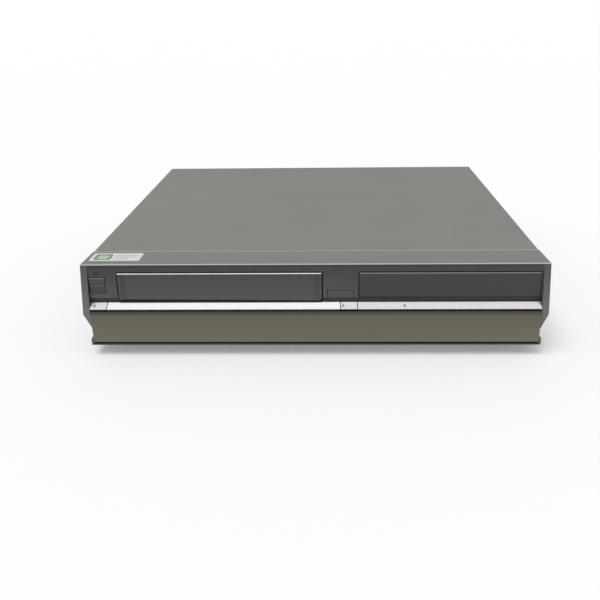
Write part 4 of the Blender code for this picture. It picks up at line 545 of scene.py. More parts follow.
def merged_copy(node_name, splits=()):
    """A copy of a CAD node's mesh with its doubles merged, its flat faces joined up, and its
    skin split along upright planes at some places across."""
    bm = bmesh.new()
    bm.from_mesh(frame["nodes"][node_name].data)
    bmesh.ops.remove_doubles(bm, verts=bm.verts, dist=MERGE)
    bmesh.ops.dissolve_limit(bm, angle_limit=FLAT_ANGLE, verts=bm.verts, edges=bm.edges)
    for x in splits:
        bmesh.ops.bisect_plane(bm, geom=bm.verts[:] + bm.edges[:] + bm.faces[:], dist=MERGE,
                               plane_co=(x, 0, 0), plane_no=ACROSS)
    return cut_up(bm, bpy.data.meshes.new(node_name + "_copy"))


def carve(piece, solids, flat=False):
    """Take solids away from a piece and leave plain mesh behind."""
    cutter = made_of(piece.name + "_cutter", solids, "mark_ink")
    modifier = piece.modifiers.new("carved", "BOOLEAN")
    modifier.operation = "DIFFERENCE"
    modifier.solver = "EXACT"
    modifier.object = cutter
    graph = bpy.context.evaluated_depsgraph_get()
    mesh = bpy.data.meshes.new_from_object(piece.evaluated_get(graph))
    piece.modifiers.clear()
    piece.data = mesh
    bpy.data.objects.remove(cutter, do_unlink=True)
    bm = bmesh.new()
    bm.from_mesh(mesh)
    bmesh.ops.remove_doubles(bm, verts=bm.verts, dist=WELD)
    bmesh.ops.dissolve_degenerate(bm, edges=bm.edges, dist=WELD)
    smooth_sides(cut_up(bm, mesh), flat)


def ease_corners(piece, width, limited=True):
    """Round the sharp corners of a piece with a live bevel that keeps flat faces flat. Where
    earlier rounds leave short edges, these are closed and the width isn't limited by them."""
    if not limited:
        piece.modifiers.new("welded", "WELD").merge_threshold = SHORT_EDGE
    bevel = piece.modifiers.new("eased", "BEVEL")
    bevel.width = width
    bevel.segments = 2
    bevel.limit_method = "ANGLE"
    bevel.angle_limit = CORNER_ANGLE
    bevel.miter_outer = "MITER_ARC"
    bevel.use_clamp_overlap = limited


def table(items, label, width=3):
    """One value of every corner or face of a mesh, as an array."""
    values = np.empty(len(items) * width, dtype=np.float32)
    items.foreach_get(label, values)
    return values.reshape(-1, width)


def sharp_edges(mesh):
    """Which edges of a mesh turn by more than the corner angle."""
    bm = bmesh.new()
    bm.from_mesh(mesh)
    sharp = np.array([edge.calc_face_angle(0) > CORNER_ANGLE for edge in bm.edges])
    bm.free()
    return sharp


def round_edges(piece, chosen, width, finish_name):
    """Round the sharp edges whose both ends a test of (x, y, z) picks, with a finish of
    their own."""
    mesh = piece.data
    ends = table(mesh.edges, "vertices", 2).astype(int)
    inside = chosen(*table(mesh.vertices, "co").T)
    picked = inside[ends].all(axis=1) & sharp_edges(mesh)
    label = f"round_{len(piece.modifiers)}"
    weights = mesh.attributes.new(label, "FLOAT", "EDGE")
    weights.data.foreach_set("value", picked.astype(np.float32))
    mesh.materials.append(FINISHES[finish_name])
    bevel = piece.modifiers.new(label, "BEVEL")
    bevel.limit_method = "WEIGHT"
    bevel.edge_weight = label
    bevel.width = width
    bevel.segments = 3
    bevel.material = len(mesh.materials) - 1


def paint_faces(piece, finish_name, chosen):
    """Give one more material to the faces that a test of their middle (x, y, z) and normal
    (nx, ny, nz) picks."""
    faces = piece.data.polygons
    piece.data.materials.append(FINISHES[finish_name])
    picked = chosen(*table(faces, "center").T, *table(faces, "normal").T)
    current = table(faces, "material_index", 1)[:, 0].astype(int)
    last = len(piece.data.materials) - 1
    faces.foreach_set("material_index", np.where(picked, last, current).astype(np.int32))


def reshaped(node_name, finish_name, width, solids=None, rounds=(), splits=()):
    """A CAD node's shape with eased corners, carved if asked, standing for the node. Each
    round is a place test with its width and finish."""
    piece = link_mesh(node_name + "_shaped", merged_copy(node_name, splits), finish_name,
                      flat=True)
    if solids:
        carve(piece, solids, flat=True)
    for chosen, round_width, round_finish in rounds:
        round_edges(piece, chosen, round_width, round_finish)
    ease_corners(piece, width)
    return settle(piece, BODY_OF[node_name], SLOT_OF[node_name], node_name)


def add(name, solids, finish_name, slot, body="case", cuts=(), nodes=()):
    """A new piece of some solids, carved by each cut in turn, riding on its body."""
    piece = made_of(name, solids, finish_name)
    for cut in cuts:
        carve(piece, cut)
    return settle(piece, body, slot, *nodes)


def add_on(node_name, ending, solids, finish_name):
    """A new piece that rides with a node."""
    add(node_name + ending, solids, finish_name, SLOT_OF[node_name], BODY_OF[node_name])


def stand_for(node_name, solids, finish_name, cuts=()):
    """A new piece that stands for a node."""
    return add(node_name + "_shaped", solids, finish_name, SLOT_OF[node_name],
               BODY_OF[node_name], cuts, (node_name,))


# Nodes whose own shape is kept: finish, width of the eased corners, nodes
EASED_NODES = (
    # painted shade: the strip's right length and its buttons take the darker copy of the bright
    # metal
    ("shaded_bright_metal", FINE_EDGE, ("trim_strip_right", "cassette_eject_button",
                                  "disc_open_button")),
    ("door_mirror", SOFT_EDGE, ("lower_door",)),
    ("receiver_tint", FINE_EDGE, ("receiver_window",)),
    ("panel_grey", PLAIN_EDGE, ("control_panel",)),
    ("smoked_glass", PLAIN_EDGE, ("display_module",)),
    ("zinc_sheet", FINE_EDGE, ("rear_panel", "bottom_chassis", "clamp_bridge",
                               "traverse_chassis", "deck_chassis", "loading_frame")),
    ("zinc_sheet", PLAIN_EDGE, ("antenna_tuner",)),
    ("black_plastic", SOFT_EDGE, ("ac_inlet",)),
    ("black_plastic", FINE_EDGE, ("drive_frame",)),
    ("polished_steel", FINE_EDGE, ("loading_slide",)),
)
# Nodes that stay as they are, by finish
DRESSED_NODES = {
    "black_plastic": ("front_jack_block", "rear_jack_block", "fan_frame", "fan_rotor"),
    "board_green": ("front_board",),
}


def plain_nodes():
    """Ease the corners of some nodes, and give those that stay their procedural material."""
    for finish_name, width, names in EASED_NODES:
        for name in names:
            reshaped(name, finish_name, width)
    for finish_name, names in DRESSED_NODES.items():
        for name in names:
            for slot in frame["nodes"][name].material_slots:
                slot.material = FINISHES[finish_name]


# ---- the front


TOP_BAND = 0.002
WALL_DEPTH = 0.0035
RIM_REACH = 0.0012
GROOVE_LOW, GROOVE_HIGH = 0.0518, 0.0561
GROOVE_DEPTH, GROOVE_AHEAD = 0.0012, 0.002
GROOVE_FLOOR = (-0.1740, -0.1725)
NOSE_LOW, NOSE_BACK = 0.045, -0.178
LIP_TOP = 0.013
FRONT_EDGE_DEPTH = 0.002
EJECT_MARKS = {"cassette_eject_button": 0.27, "disc_open_button": 0.15,
               "trim_strip_right": 0.256}
FLAP_GROOVES = (0.0031, 0.0057)
GROOVES_MIDDLE = 0.0044


def face_y(z):
    """The leaning upper face at a height: its top edge plus the share of the way down."""
    share = (CASE_TOP - z) / (CASE_TOP - LEDGE_BACK[1])
    return TOP_EDGE_Y + share * (LEDGE_BACK[0] - TOP_EDGE_Y)


def face_place(x, z, proud=0.0):
    """A point on the leaning upper face, or proud of it."""
    return np.array([x, face_y(z), z]) + FACE_OUT * proud


def ledge_place(x, share, proud=0.0):
    """A point on the sloping strip, a share of the way up it, or proud of it."""
    low, high = np.array([x, *LEDGE_FRONT]), np.array([x, *LEDGE_BACK])
    return low + (high - low) * share + LEDGE_OUT * proud


def upper_front(name):
    """A test for the upper front edge of a node."""
    low, high, _ = box(name)
    return lambda x, y, z: (z > high[2] - TOUCH) & (y < low[1] + FRONT_EDGE_DEPTH)


def opening_walls(x, y, z, nx, ny, nz):
    """Which faces are the walls of the openings in the upright face, or lie inside it; they get
    painted shade.
    """
    inside = (z > LEDGE_BACK[1]) & (z < CASE_TOP - TOP_BAND) & (np.abs(x) < DOOR_HALF - MM)
    walls = (np.abs(nx) > SQUARE_ON) | (np.abs(nz) > SQUARE_ON) | (ny > 0.5)
    return inside & (y < TOP_EDGE_Y + WALL_DEPTH) & walls


def opening_rim(x, y, z):
    """Which points lie on the upright face at the corners of the flap's or the tray's opening;
    the rims they pick get painted shade.
    """
    near = [np.abs(x - corner[0]) < RIM_REACH for name in ("cassette_flap", "tray_front")
            for corner in box(name)[:2]]
    level = (z > LEDGE_BACK[1] + 2 * TOUCH) & (z < CASE_TOP - TOP_BAND)
    return np.any(near, axis=0) & level & (np.abs(y - face_y(z)) < TOUCH)


def draw_in_sides(mesh):
    """Draw the outer sides in towards the seam, where they meet the cover: half width less a
    draught times the share of the way from the front to the seam."""
    points = table(mesh.vertices, "co")
    outer = np.abs(points[:, 0]) > HALF_WIDTH - TOUCH
    share = (points[:, 1] - FRONT_Y) / (SEAM_Y - FRONT_Y)
    points[:, 0] -= np.where(outer, np.sign(points[:, 0]) * SIDE_DRAUGHT * share, 0)
    mesh.vertices.foreach_set("co", points.ravel())


def bezel():
    """The silver front: pale on top and at the sides, with painted shade on the upright faces, a
    darker copy of the silver painted lighter towards the bottom, and painted light on the posts
    beside the door. A carved groove over the bright strip holds painted shade, as do the nose
    under the strip, the walls and rims of the openings and the lip, and a painted highlight runs
    along the top front edge."""
    # painted shade: the bezel starts in the darker, shaded copy of its silver
    piece = link_mesh("front_bezel_shaped",
                      merged_copy("front_bezel", (-DOOR_HALF, DOOR_HALF)), "shaded_face_silver",
                      flat=True)
    rows = [(face_place(0, z, proud)[1], z) for z, proud in (
        (GROOVE_LOW, GROOVE_AHEAD), (GROOVE_LOW, -GROOVE_DEPTH), (GROOVE_HIGH, -GROOVE_DEPTH),
        (GROOVE_HIGH, GROOVE_AHEAD))]
    carve(piece, [bar_along_x(rows, -DOOR_HALF, DOOR_HALF, INK / 4)], flat=True)
    paint_faces(piece, "strip_silver", lambda x, y, z, nx, ny, nz: (nz > SQUARE_ON)
                | ((np.abs(x) > HALF_WIDTH - TOUCH) & (np.abs(nx) > SQUARE_ON)))
    # painted light: the posts beside the door get the lighter copy of the silver
    paint_faces(piece, "lit_post_silver",
                lambda x, y, z, nx, ny, nz: (np.abs(x) > DOOR_HALF) & (ny < -0.5))
    # painted shade on the floor of the groove over the strip
    paint_faces(piece, "painted_groove_shade", lambda x, y, z, nx, ny, nz: (z > GROOVE_LOW - TOUCH)
                & (z < GROOVE_HIGH + TOUCH) & (np.abs(x) < DOOR_HALF) & (y > GROOVE_FLOOR[0])
                & (y < GROOVE_FLOOR[1]) & (ny < 0.5))
    # painted shade on the walls of the openings
    paint_faces(piece, "painted_shadow_dark", opening_walls)
    # painted shade on the nose under the strip
    paint_faces(piece, "painted_shadow_dark", lambda x, y, z, *normal: (z < LEDGE_FRONT[1])
                & (z > NOSE_LOW) & (y < NOSE_BACK) & (np.abs(x) < DOOR_HALF))
    # painted shade on the lip under the door
    paint_faces(piece, "painted_lip_shade", lambda x, y, z, *normal: z < LIP_TOP)
    # painted highlight along the bezel's top front edge
    round_edges(piece, lambda x, y, z: (np.abs(y - TOP_EDGE_Y) < TOUCH)
                & (np.abs(z - CASE_TOP) < TOUCH), 0.0007, "painted_edge_highlight")
    # painted shade on the rounded rims of the openings
    round_edges(piece, opening_rim, 0.0006, "painted_shadow_dark")
    draw_in_sides(piece.data)
    ease_corners(piece, SOFT_EDGE, limited=False)
    settle(piece, "case", SLOT_OF["front_bezel"], "front_bezel")


def bright_strip():
    """The left length of the sloping strip, with a painted shadow along its upper front edge as
    far as the flap's shadow gap reaches, and the small eject marks."""
    low, high, _ = box("cassette_flap")
    left, right = low[0], high[0]
    # painted shadow along the strip's upper edge under the flap
    reshaped("trim_strip_left", "bright_metal", FINE_EDGE, rounds=[(
        lambda x, y, z: (z > LEDGE_BACK[1] - TOUCH) & (x > left - TOUCH) & (x < right + TOUCH),
        0.0006, "painted_shadow_dark")], splits=(left, right))
    outlines = (polygon(3, 0.0013, (0, 0.0002), math.pi / 2),
                rectangle(0.0022, 0.0004, (0, -0.0012)))
    for name, share in EJECT_MARKS.items():
        low, high, _ = box(name)
        place = ledge_place(low[0] + (high[0] - low[0]) * share, 0.5, INK / 4)
        add_on(name, "_mark", [mark(outline, place, LEDGE_UP) for outline in outlines],
               "mark_ink")


def flap():
    """The cassette flap with two upright grooves near each end, painted shade in the grooves,
    along its lower front edge and at its ends, and a thin bright strip along its upper edge that
    is partly a trim and partly a painted highlight.
    """
    low, high, middle = box("cassette_flap")
    left, right = low[0], high[0]
    upright = rectangle(0.0005, high[2] - low[2] - 0.0035)
    grooves = [slab(upright, 0.0012, face_place(x, middle[2], -0.0002), ACROSS, FACE_UP, 0.00005)
               for offset in FLAP_GROOVES for x in (left + offset, right - offset)]
    # painted shade along the flap's lower front edge and at its ends
    rounds = [(lambda x, y, z: (z < low[2] + SOFT_EDGE) & (y < low[1] + SOFT_EDGE),
               0.0023, "painted_shadow_dark"),
              (lambda x, y, z: ((x < left + TOUCH) | (x > right - TOUCH))
               & (np.abs(y - face_y(z)) < SOFT_EDGE), 0.0008, "painted_shadow_dark")]
    piece = reshaped("cassette_flap", "flap_silver", PLAIN_EDGE, grooves, rounds)

    def in_grooves(x, *others):
        """Which faces lie in the grooves, by their distance from the nearer end."""
        away = np.abs(np.minimum(x - left, right - x) - GROOVES_MIDDLE)
        return (away < 0.0018) & (away > 0.0008)

    # painted shade in the grooves
    paint_faces(piece, "painted_shadow_dark", in_grooves)
    # a thin bright strip along the flap's top: partly a trim, partly a painted highlight
    trim = filleted(rectangle(right - left, 0.0009), 0.0002)
    place = face_place(middle[0], high[2] - 0.0006, 0.00045)
    add("cassette_flap_highlight_trim", [slab(trim, 0.0004, place, ACROSS, FACE_UP, 0.0001)],
        "bright_metal", "bright_strip", "flap")


def tray_and_power():
    """The tray's front, the power button with its mark above, and the indicator window, each with
    a painted highlight along its upper front edge.
    """
    for name, finish_name, width, round_width in (
            ("tray_front", "tray_silver", 0.0005, 0.0009),
            # painted shade: the power button shares the shaded copy of the front's silver
            ("power_button", "shaded_face_silver", 0.0005, 0.0007),
            ("indicator_window", "dull_window", FINE_EDGE, 0.0006)):
        # painted highlight on the rounded upper front edge of each
        reshaped(name, finish_name, width,
                 rounds=[(upper_front(name), round_width, "painted_soft_highlight")])
    _, high, middle = box("power_button")
    angle = np.linspace(math.radians(60), math.radians(-240), 24)
    ring = np.stack([np.cos(angle), np.sin(angle)], axis=1)
    outline = np.concatenate([ring * 0.0026, ring[::-1] * 0.0012])
    place = face_place(middle[0], high[2] + 0.0038, INK / 4)
    solids = [mark(shape, place, FACE_UP)
              for shape in (outline, rectangle(0.0012, 0.0026, (0, 0.0016)))]
    add("power_mark", solids, "mark_ink", "silver_plastic")


LABEL_PLACE = (-0.1862, -0.1535)
LABEL_BARS = ((9.5, 2.4), (11.5, -0.4), (8.0, -3.2))
LABEL_LINES = ((21.5, 4.5), (19.5, 0.0), (14.0, -4.5))
ON_LABEL, ON_BLOCK = CASE_TOP + 0.00011, CASE_TOP + 0.00014


def front_label():
    """A bare white label with grey lines and a green block with pale bars, stuck on the
    front's top at the left."""
    x, y = LABEL_PLACE
    block_x = x - 0.0125
    sheet = filleted(rectangle(0.0475, 0.0186), 0.0022)
    patch = filleted(rectangle(0.0165, 0.0135), 0.003)
    bars = [lying(filleted(rectangle(width, 0.0016), 0.0006), 0.00003,
                  (block_x, y + rise, ON_BLOCK), INK / 4) for width, rise in mm(LABEL_BARS)]
    lines = [lying(rectangle(width, 0.0011), 0.00003,
                   (x - 0.002 + width / 2, y + rise, ON_LABEL), INK / 4)
             for width, rise in mm(LABEL_LINES)]
    add("front_label", [lying(sheet, 0.00012, (x, y, CASE_TOP), 0.00003)], "label_white",
        "bright_strip")
    add("front_label_block", [lying(patch, INK, (block_x, y, ON_LABEL), INK / 4)],
        "label_green", "green_board")
    add("front_label_bars", bars, "label_white", "bright_strip")
    add("front_label_lines", lines, "line_grey", "grey_plastic")


# ---- behind the door


KEY_MARKS = {
    "stop_key": (rectangle(0.0026, 0.0026), "mark_pale"),
    "play_key": (polygon(3, 0.0018), "mark_pale"),
    "record_key": (polygon(24, 0.0014), "mark_red"),
    "channel_down_key": (polygon(3, 0.0017, turn=-math.pi / 2), "mark_pale"),
    "channel_up_key": (polygon(3, 0.0017, turn=math.pi / 2), "mark_pale"),
}
FRONT_JACKS = (("yellow", -0.014), ("white", 0), ("red", 0.014))
FRONT_RING = [(1.72, 0), (3.9, 0), (3.9, 0.4), (3.6, 0.7), (2.0, 0.7), (1.72, 0.4)]
FRONT_SLEEVE = [(3.9, 0.1), (4.23, 0.1), (4.23, -2.4), (3.9, -2.6)]


def keys():
    """Five soft-cornered keys, each with its mark."""
    for name, (outline, finish_name) in KEY_MARKS.items():
        low, high, (x, _, z) = box(name)
        width, depth, height = high - low
        body = facing(filleted(rectangle(width, height), 0.0012), depth, (x, high[1], z),
                      SOFT_EDGE)
        stand_for(name, [body], "key_black")
        add_on(name, "_mark", [facing(outline, 0.00006, (x, low[1] + 0.00002, z), 0.00002)],
               finish_name)


def front_jacks():
    """Coloured rings and bright sleeves on the three jacks behind the door."""
    low, _, (middle_x, _, z) = box("front_jack_block")
    sleeves = []
    for colour, offset in FRONT_JACKS:
        x = middle_x + offset
        add("front_jack_ring_" + colour, [turned(mm(FRONT_RING), (x, low[1] + 0.0003, z),
                                                 TO_FRONT, SMALL_STEPS)],
            "ring_" + colour, "black_plastic")
        sleeves.append(turned(mm(FRONT_SLEEVE), (x, low[1] + 0.0001, z), TO_FRONT, SMALL_STEPS))
    add("front_jack_sleeves", sleeves, "polished_steel", "steel")


# ---- the case


COVER_SHEET, COVER_FOLD, COVER_HEM = 0.001, 0.0018, 0.0004
SCREW_RIM = 0.35
CROSS_ARMS = ((1.1, 0.22), (0.22, 1.1))
COVER_SCREW_SEAT = 0.2138
REAR_SCREWS = ((-205, 80), (0, 83), (205, 80), (-205, 18), (30, 18), (206, 45))
FOOT_PROFILE = [(0, 0.2), (9.5, 0.2), (9.8, 0), (12.5, 0), (13.1, 4.5), (12.6, 5.2), (13.3, 6)]
JACK_PITCH = 0.014
REAR_JACK_Z = 0.0299
REAR_JACKS = ("yellow white red yellow white red", "yellow white red green blue red")
JACK_BORE, JACK_OUTER, JACK_EDGE = 0.0030, 0.00424, 0.0003
JACK_COLLAR = [(4.24, 0.1), (5.8, 0.1), (5.8, 0.6), (5.4, 0.9), (4.24, 0.9)]
AERIAL_SPREAD = 0.010
AERIAL_WASHER = [(4.9, 0.4), (7.2, 0.4), (7.2, 1.1), (4.9, 1.1)]
INLET_PIN = [(0, 0), (1.13, 0), (1.13, 5.5), (0.7, 6.1), (0, 6.1)]
INLET_SPREAD = 0.0035
RIB_PLACES = (-0.11, -0.035, 0.04, 0.115)
RIB_MIDDLE_Y, RIB_HALF_LENGTH = 0.018, 0.105


def cover():
    """The folded lid: a channel with round folds carried from the seam to the back, with a
    painted highlight along its front edge.
    """
    low, high, _ = box("top_cover")
    left, right, bottom, top = low[0], high[0], low[2], high[2]
    sheet, fold, hem = COVER_SHEET, COVER_FOLD, COVER_HEM
    outer = [(left, bottom), (left, top), (right, top), (right, bottom)]
    inner = [(right - sheet, bottom), (right - sheet, top - sheet),
             (left + sheet, top - sheet), (left + sheet, bottom)]
    outline = filleted(outer + inner, [hem, fold, fold, hem, hem, fold - sheet, fold - sheet,
                                       hem])
    layers = eased(outline, low[1], high[1], FINE_EDGE)
    piece = stand_for("top_cover", [stacked(layers[:, :, [0, 2, 1]])], "cover_silver")
    # painted highlight along the cover's front edge, where it meets the bezel
    paint_faces(piece, "painted_hem_highlight", lambda x, y, *others: y < low[1] + hem)


def screw(name, radius, height, centre, axis, body="case", nodes=()):
    """A pan head: radius (cos a) at height (rim + (1 - rim) sin a), with a cross cut into it."""
    angle = np.linspace(0, math.pi / 2, DOME_STEPS)
    dome = np.stack([radius * np.cos(angle),
                     height * (SCREW_RIM + (1 - SCREW_RIM) * np.sin(angle))], axis=1)
    head = turned(np.concatenate([[(0, 0), (radius, 0)], dome]), centre, axis, SMALL_STEPS)
    rows = axes_about(axis)
    top = np.array(centre) + rows[2] * height * 0.5
    cuts = [[slab(rectangle(radius * wide, radius * tall), height, top, rows[0], rows[1],
                  radius * 0.02)] for wide, tall in CROSS_ARMS]
    add(name, [head], "polished_steel", "steel", body, cuts, nodes)


def screws():
    """The four cover screws and six more on the back."""
    for number in range(1, 5):
        name = f"cover_screw_{number}"
        x, y, z = box(name)[2]
        side = math.copysign(1, x)
        screw(name + "_head", 0.0035, 0.0011, (side * COVER_SCREW_SEAT, y, z), (side, 0, 0),
              nodes=(name,))
    for number, (x, z) in enumerate(mm(REAR_SCREWS), start=1):
        screw(f"rear_screw_{number}", 0.0028, 0.0010, (x, PANEL_BACK_Y, z), TO_BACK)


def feet():
    """Round feet: a moulded ring with a groove and a soft pad set in its underside."""
    for name in ("foot_front_left", "foot_front_right", "foot_rear_left", "foot_rear_right"):
        low, high, (x, y, _) = box(name)
        top = [((high[0] - low[0]) / 2, high[2]), (0, high[2])]
        profile = filleted(np.concatenate([mm(FOOT_PROFILE), top]), 0.0004, closed=False)
        stand_for(name, [turned(profile, (x, y, 0), TO_TOP)], "rubber")


def rear_jacks():
    """Bright sleeves and coloured rings on the twelve rear jacks."""
    low, high, _ = box("rear_jack_block")
    start = PANEL_BACK_Y - 0.0002
    length = high[1] - start + 0.00005
    neck = length - JACK_EDGE
    sleeve = [(JACK_BORE, 0), (JACK_OUTER, 0), (JACK_OUTER, neck),
              (JACK_OUTER - JACK_EDGE, length), (JACK_BORE + JACK_EDGE, length),
              (JACK_BORE, neck)]
    ring = [(0.00165, 0), (0.0031, 0), (0.0031, length - TOUCH), (0.00165, length - TOUCH)]
    sleeves, rings = [], {}
    for row, colours in enumerate(REAR_JACKS):
        for column, colour in enumerate(colours.split()):
            centre = (low[0] + (column + 0.5) * JACK_PITCH, start,
                      REAR_JACK_Z + row * JACK_PITCH)
            sleeves.append(turned(sleeve, centre, TO_BACK, SMALL_STEPS))
            rings.setdefault("ring_" + colour, []).extend(
                turned(profile, centre, TO_BACK, SMALL_STEPS)
                for profile in (ring, mm(JACK_COLLAR)))
    add("rear_jack_sleeves", sleeves, "polished_steel", "steel")
    for finish_name, solids in rings.items():
        add("rear_jack_" + finish_name, solids, finish_name, "black_plastic")


def threaded(centre, length, radius, depth, pitch, bore):
    """A threaded sleeve towards +Y: radius + depth times a triangle wave of height / pitch
    less the share of a turn."""
    heights = np.linspace(0, length, int(length / pitch * 10))
    share = np.arange(SMALL_STEPS) / SMALL_STEPS
    wave = np.abs(((heights[:, None] / pitch - share) % 1) * 2 - 1)
    fade = np.clip((length - heights) / (2 * pitch), 0, 1)[:, None]
    size = radius + depth * (wave * fade - 0.5 * fade)
    around, ahead = circle(SMALL_STEPS, TO_BACK), np.array(TO_BACK)
    outer = size[..., None] * around + heights[:, None, None] * ahead
    inner = np.array([length, 0.0])[:, None, None] * ahead + bore * around
    return looped(np.array(centre) + np.concatenate([outer, inner]))


def aerial_sockets():
    """The two threaded aerial sockets with their washers."""
    _, high, (middle_x, _, z) = box("antenna_tuner")
    solids = []
    for side in (-1, 1):
        centre = (middle_x + side * AERIAL_SPREAD, PANEL_BACK_Y - 0.0003, z)
        length = high[1] - centre[1] + 0.00005
        solids.append(threaded(centre, length, 0.0049, 0.0003, 0.0008, 0.0017))
        solids.append(turned(mm(AERIAL_WASHER), centre, TO_BACK, 6))
    add("aerial_sockets", solids, "polished_steel", "steel")


def inlet_and_plate():
    """Bright skins on the inlet's two pins, and a bare plate for the rating plate."""
    _, high, (x, _, z) = box("ac_inlet")
    pins = [turned(mm(INLET_PIN), (x + side * INLET_SPREAD, high[1] - 0.0120, z), TO_BACK,
                   SMALL_STEPS) for side in (-1, 1)]
    add("inlet_pins", pins, "polished_steel", "steel")
    plate = slab(filleted(rectangle(0.052, 0.022), 0.001), 0.0002, (0.045, PANEL_BACK_Y, 0.052),
                 -ACROSS, TO_TOP, 0.00005)
    add("rear_plate", [plate], "label_white", "bright_strip")


def chassis_ribs():
    """Ribs pressed into the bottom: a half ellipse carried along Y, its size the root of
    1 - t^8 from end to end."""
    low, _, _ = box("bottom_chassis")
    angle = np.linspace(0, math.pi, 9)
    hump = np.stack([0.003 * np.cos(angle), -0.0003 * np.sin(angle)], axis=1)
    ends = np.linspace(-1, 1, 17)
    size = np.sqrt(np.clip(1 - ends ** 8, 0.0001, 1))[:, None]
    ribs = []
    for x in RIB_PLACES:
        layers = np.zeros((len(ends), len(hump), 3))
        layers[..., 0] = x + size * hump[:, 0]
        layers[..., 1] = RIB_MIDDLE_Y + ends[:, None] * RIB_HALF_LENGTH
        layers[..., 2] = low[2] + size * hump[:, 1]
        ribs.append(stacked(layers))
    add("chassis_ribs", ribs, "zinc_sheet", "zinc_sheet")


# ---- inside


# Turned shapes as (radius, height) in millimetres from their node's low end
GUIDE_ROD = [(0, 0), (1.1, 0), (1.5, 0.4), (1.5, 67.6), (1.1, 68), (0, 68)]
TURNED_SHAPES = {
    "disc_clamper": ("black_plastic", TO_TOP, [
        (0, 0), (13.4, 0), (14, 0.6), (14, 2), (8.5, 2), (8.5, 5.9), (11.6, 5.9), (12, 6.3),
        (12, 7.3), (11.6, 7.7), (9, 7.7), (8.5, 7.1), (3, 7.1), (2.6, 7.5), (0, 7.5)]),
    "turntable": ("grey_plastic", TO_TOP, [
        (0, 0), (1.5, 0), (1.5, 2.5), (13.9, 2.5), (14.5, 3.1), (14.5, 8.9), (14.1, 9.3),
        (7.3, 9.3), (7.3, 10.6), (6.6, 11.5), (3.6, 12.3), (0, 12.3)]),
    "capstan_flywheel": ("polished_steel", TO_TOP, [
        (0, 0), (21.2, 0), (22, 0.8), (22, 8.2), (21.2, 9), (17, 9), (16.5, 7.5), (6, 7.5),
        (5.5, 9), (2, 9), (2, 41.2), (1.5, 41.7), (0, 41.7)]),
    "guide_rod_left": ("polished_steel", TO_BACK, GUIDE_ROD),
    "guide_rod_right": ("polished_steel", TO_BACK, GUIDE_ROD),
    "spindle_motor": ("polished_steel", TO_TOP, [
        (1.8, 0), (14, 0), (14, 2.4), (13.4, 3), (10, 3), (9.6, 2.6), (6.4, 2.6), (6, 3),
        (1.8, 3)]),
    "pinch_roller": ("rubber", TO_TOP, [
        (3.4, 0), (5.5, 0), (6, 0.5), (6, 17.5), (5.5, 18), (3.4, 18)]),
}
PINCH_BUSH = [(2.3, 0.4), (3.4, 0.4), (3.4, 17.6), (2.3, 17.6)]
TURNTABLE_PAD = [(9.2, 9.2), (13.7, 9.2), (13.7, 9.45), (9.2, 9.45)]

DRUM_LEAN = math.radians(5.96)
DRUM_AXIS = (0, math.sin(DRUM_LEAN), math.cos(DRUM_LEAN))
DRUM_FOOT = np.array([-0.0970, 0.0390, DECK_TOP])
DRUM_SPLIT = 0.0213
HEAD_WINDOW_RADIUS = 0.0296
DRUM_SCREWS = 3
LOWER_DRUM = [(0, -4), (31, -4), (31, 16.8), (30.5, 17.2), (30.5, 17.8), (31, 18.2), (31, 20.6),
              (30.6, 21), (0, 21)]
UPPER_DRUM = [(0, 0), (30.4, 0), (31, 0.5), (31, 14.2), (30.4, 15), (26.5, 15), (26, 14.2),
              (11.5, 14.2), (11, 15), (10, 15.4), (10, 18.5), (9.5, 19), (3, 19), (2.6, 18.2),
              (0, 18.2)]
GUIDE_POST = [(0, 0), (4.5, 0), (4.5, 2), (2.2, 2.6), (2.2, 6), (3.4, 6.4), (3.4, 7.6),
              (2.6, 8), (2.6, 22), (3.4, 22.4), (3.4, 23.6), (1.6, 24), (1.6, 27), (0, 27)]
POST_PLACES = ((-139, 22), (-133, 36), (-58, 38), (-54, 26))

REEL_TEETH, REEL_FINS = 60, 6
REEL_ROOT, REEL_TIP, REEL_BORE = 0.0172, 0.018, 0.0023
REEL_PLATE = 0.0027
REEL_HUB = [(2.3, 0.2), (8.8, 0.2), (8.8, 10.6), (7.2, 12.5), (2.3, 12.5)]

# What stands on the boards, in millimetres: x, y, width, depth, height, or x, y, radius, height
CHIPS = [(-51, 100.6, 28, 28, 3), (-20, 100, 20, 20, 2.2), (22, 112, 14, 22, 2),
         (44, 141, 12, 8, 3), (-112, 108, 24, 10, 3.4), (-128, 140, 9, 22, 3.2),
         (52, 100, 10, 8, 2.4), (-4, 138, 26, 8, 3.2), (118, 84, 8, 12, 3.4),
         (150, 146, 14, 7, 3.6)]
CONNECTORS = [(-150, 91, 22, 5, 7), (34, 91, 18, 5, 7), (-100, 91, 14, 5, 7),
              (96, 72, 20, 5, 7), (68, 142, 5, 20, 7)]
CANS = [(-90, 122, 4, 11), (-80, 131, 3, 8), (-70, 141, 5, 14), (-30, 126, 3, 8),
        (5, 154, 4, 11), (16, 154, 3, 8), (62, 124, 5, 12), (62, 155, 4, 11), (-140, 104, 3, 8),
        (-164, 98, 4, 11), (-177, 101, 3, 8), (103.8, 90, 9, 22), (96, 130, 6, 18),
        (96, 113, 4, 12), (122, 152, 5, 16), (135, 152, 4, 14)]
SINK_X, SINK_Y = 133.8, 120
SINK_PITCH, SINK_FINS, SINK_HEIGHT = 3.2, 10, 0.020
BOARD_SCREW_INSET = 0.006

DISC_CENTRE_Y = -0.0982
SMALL_SEAT_Z = 0.0642
SMALL_SEAT = [(0, 0), (41, 0), (41, 10), (0, 10)]
CARRIAGE_SLOTS = (-0.120, -0.100, -0.060)
WINDING_DEPTH, WINDING_HALF = 0.0059, 0.0112
DECK_CABLE = [(91, 26.5), (91, 36), (82, 38), (76, 31), (64, 30.8)]
DRIVE_CABLE = [(72, 26.5), (72, 34), (60, 32), (22, 30), (12, 34), (12, 58), (6, 57),
               (-3, 56.4)]


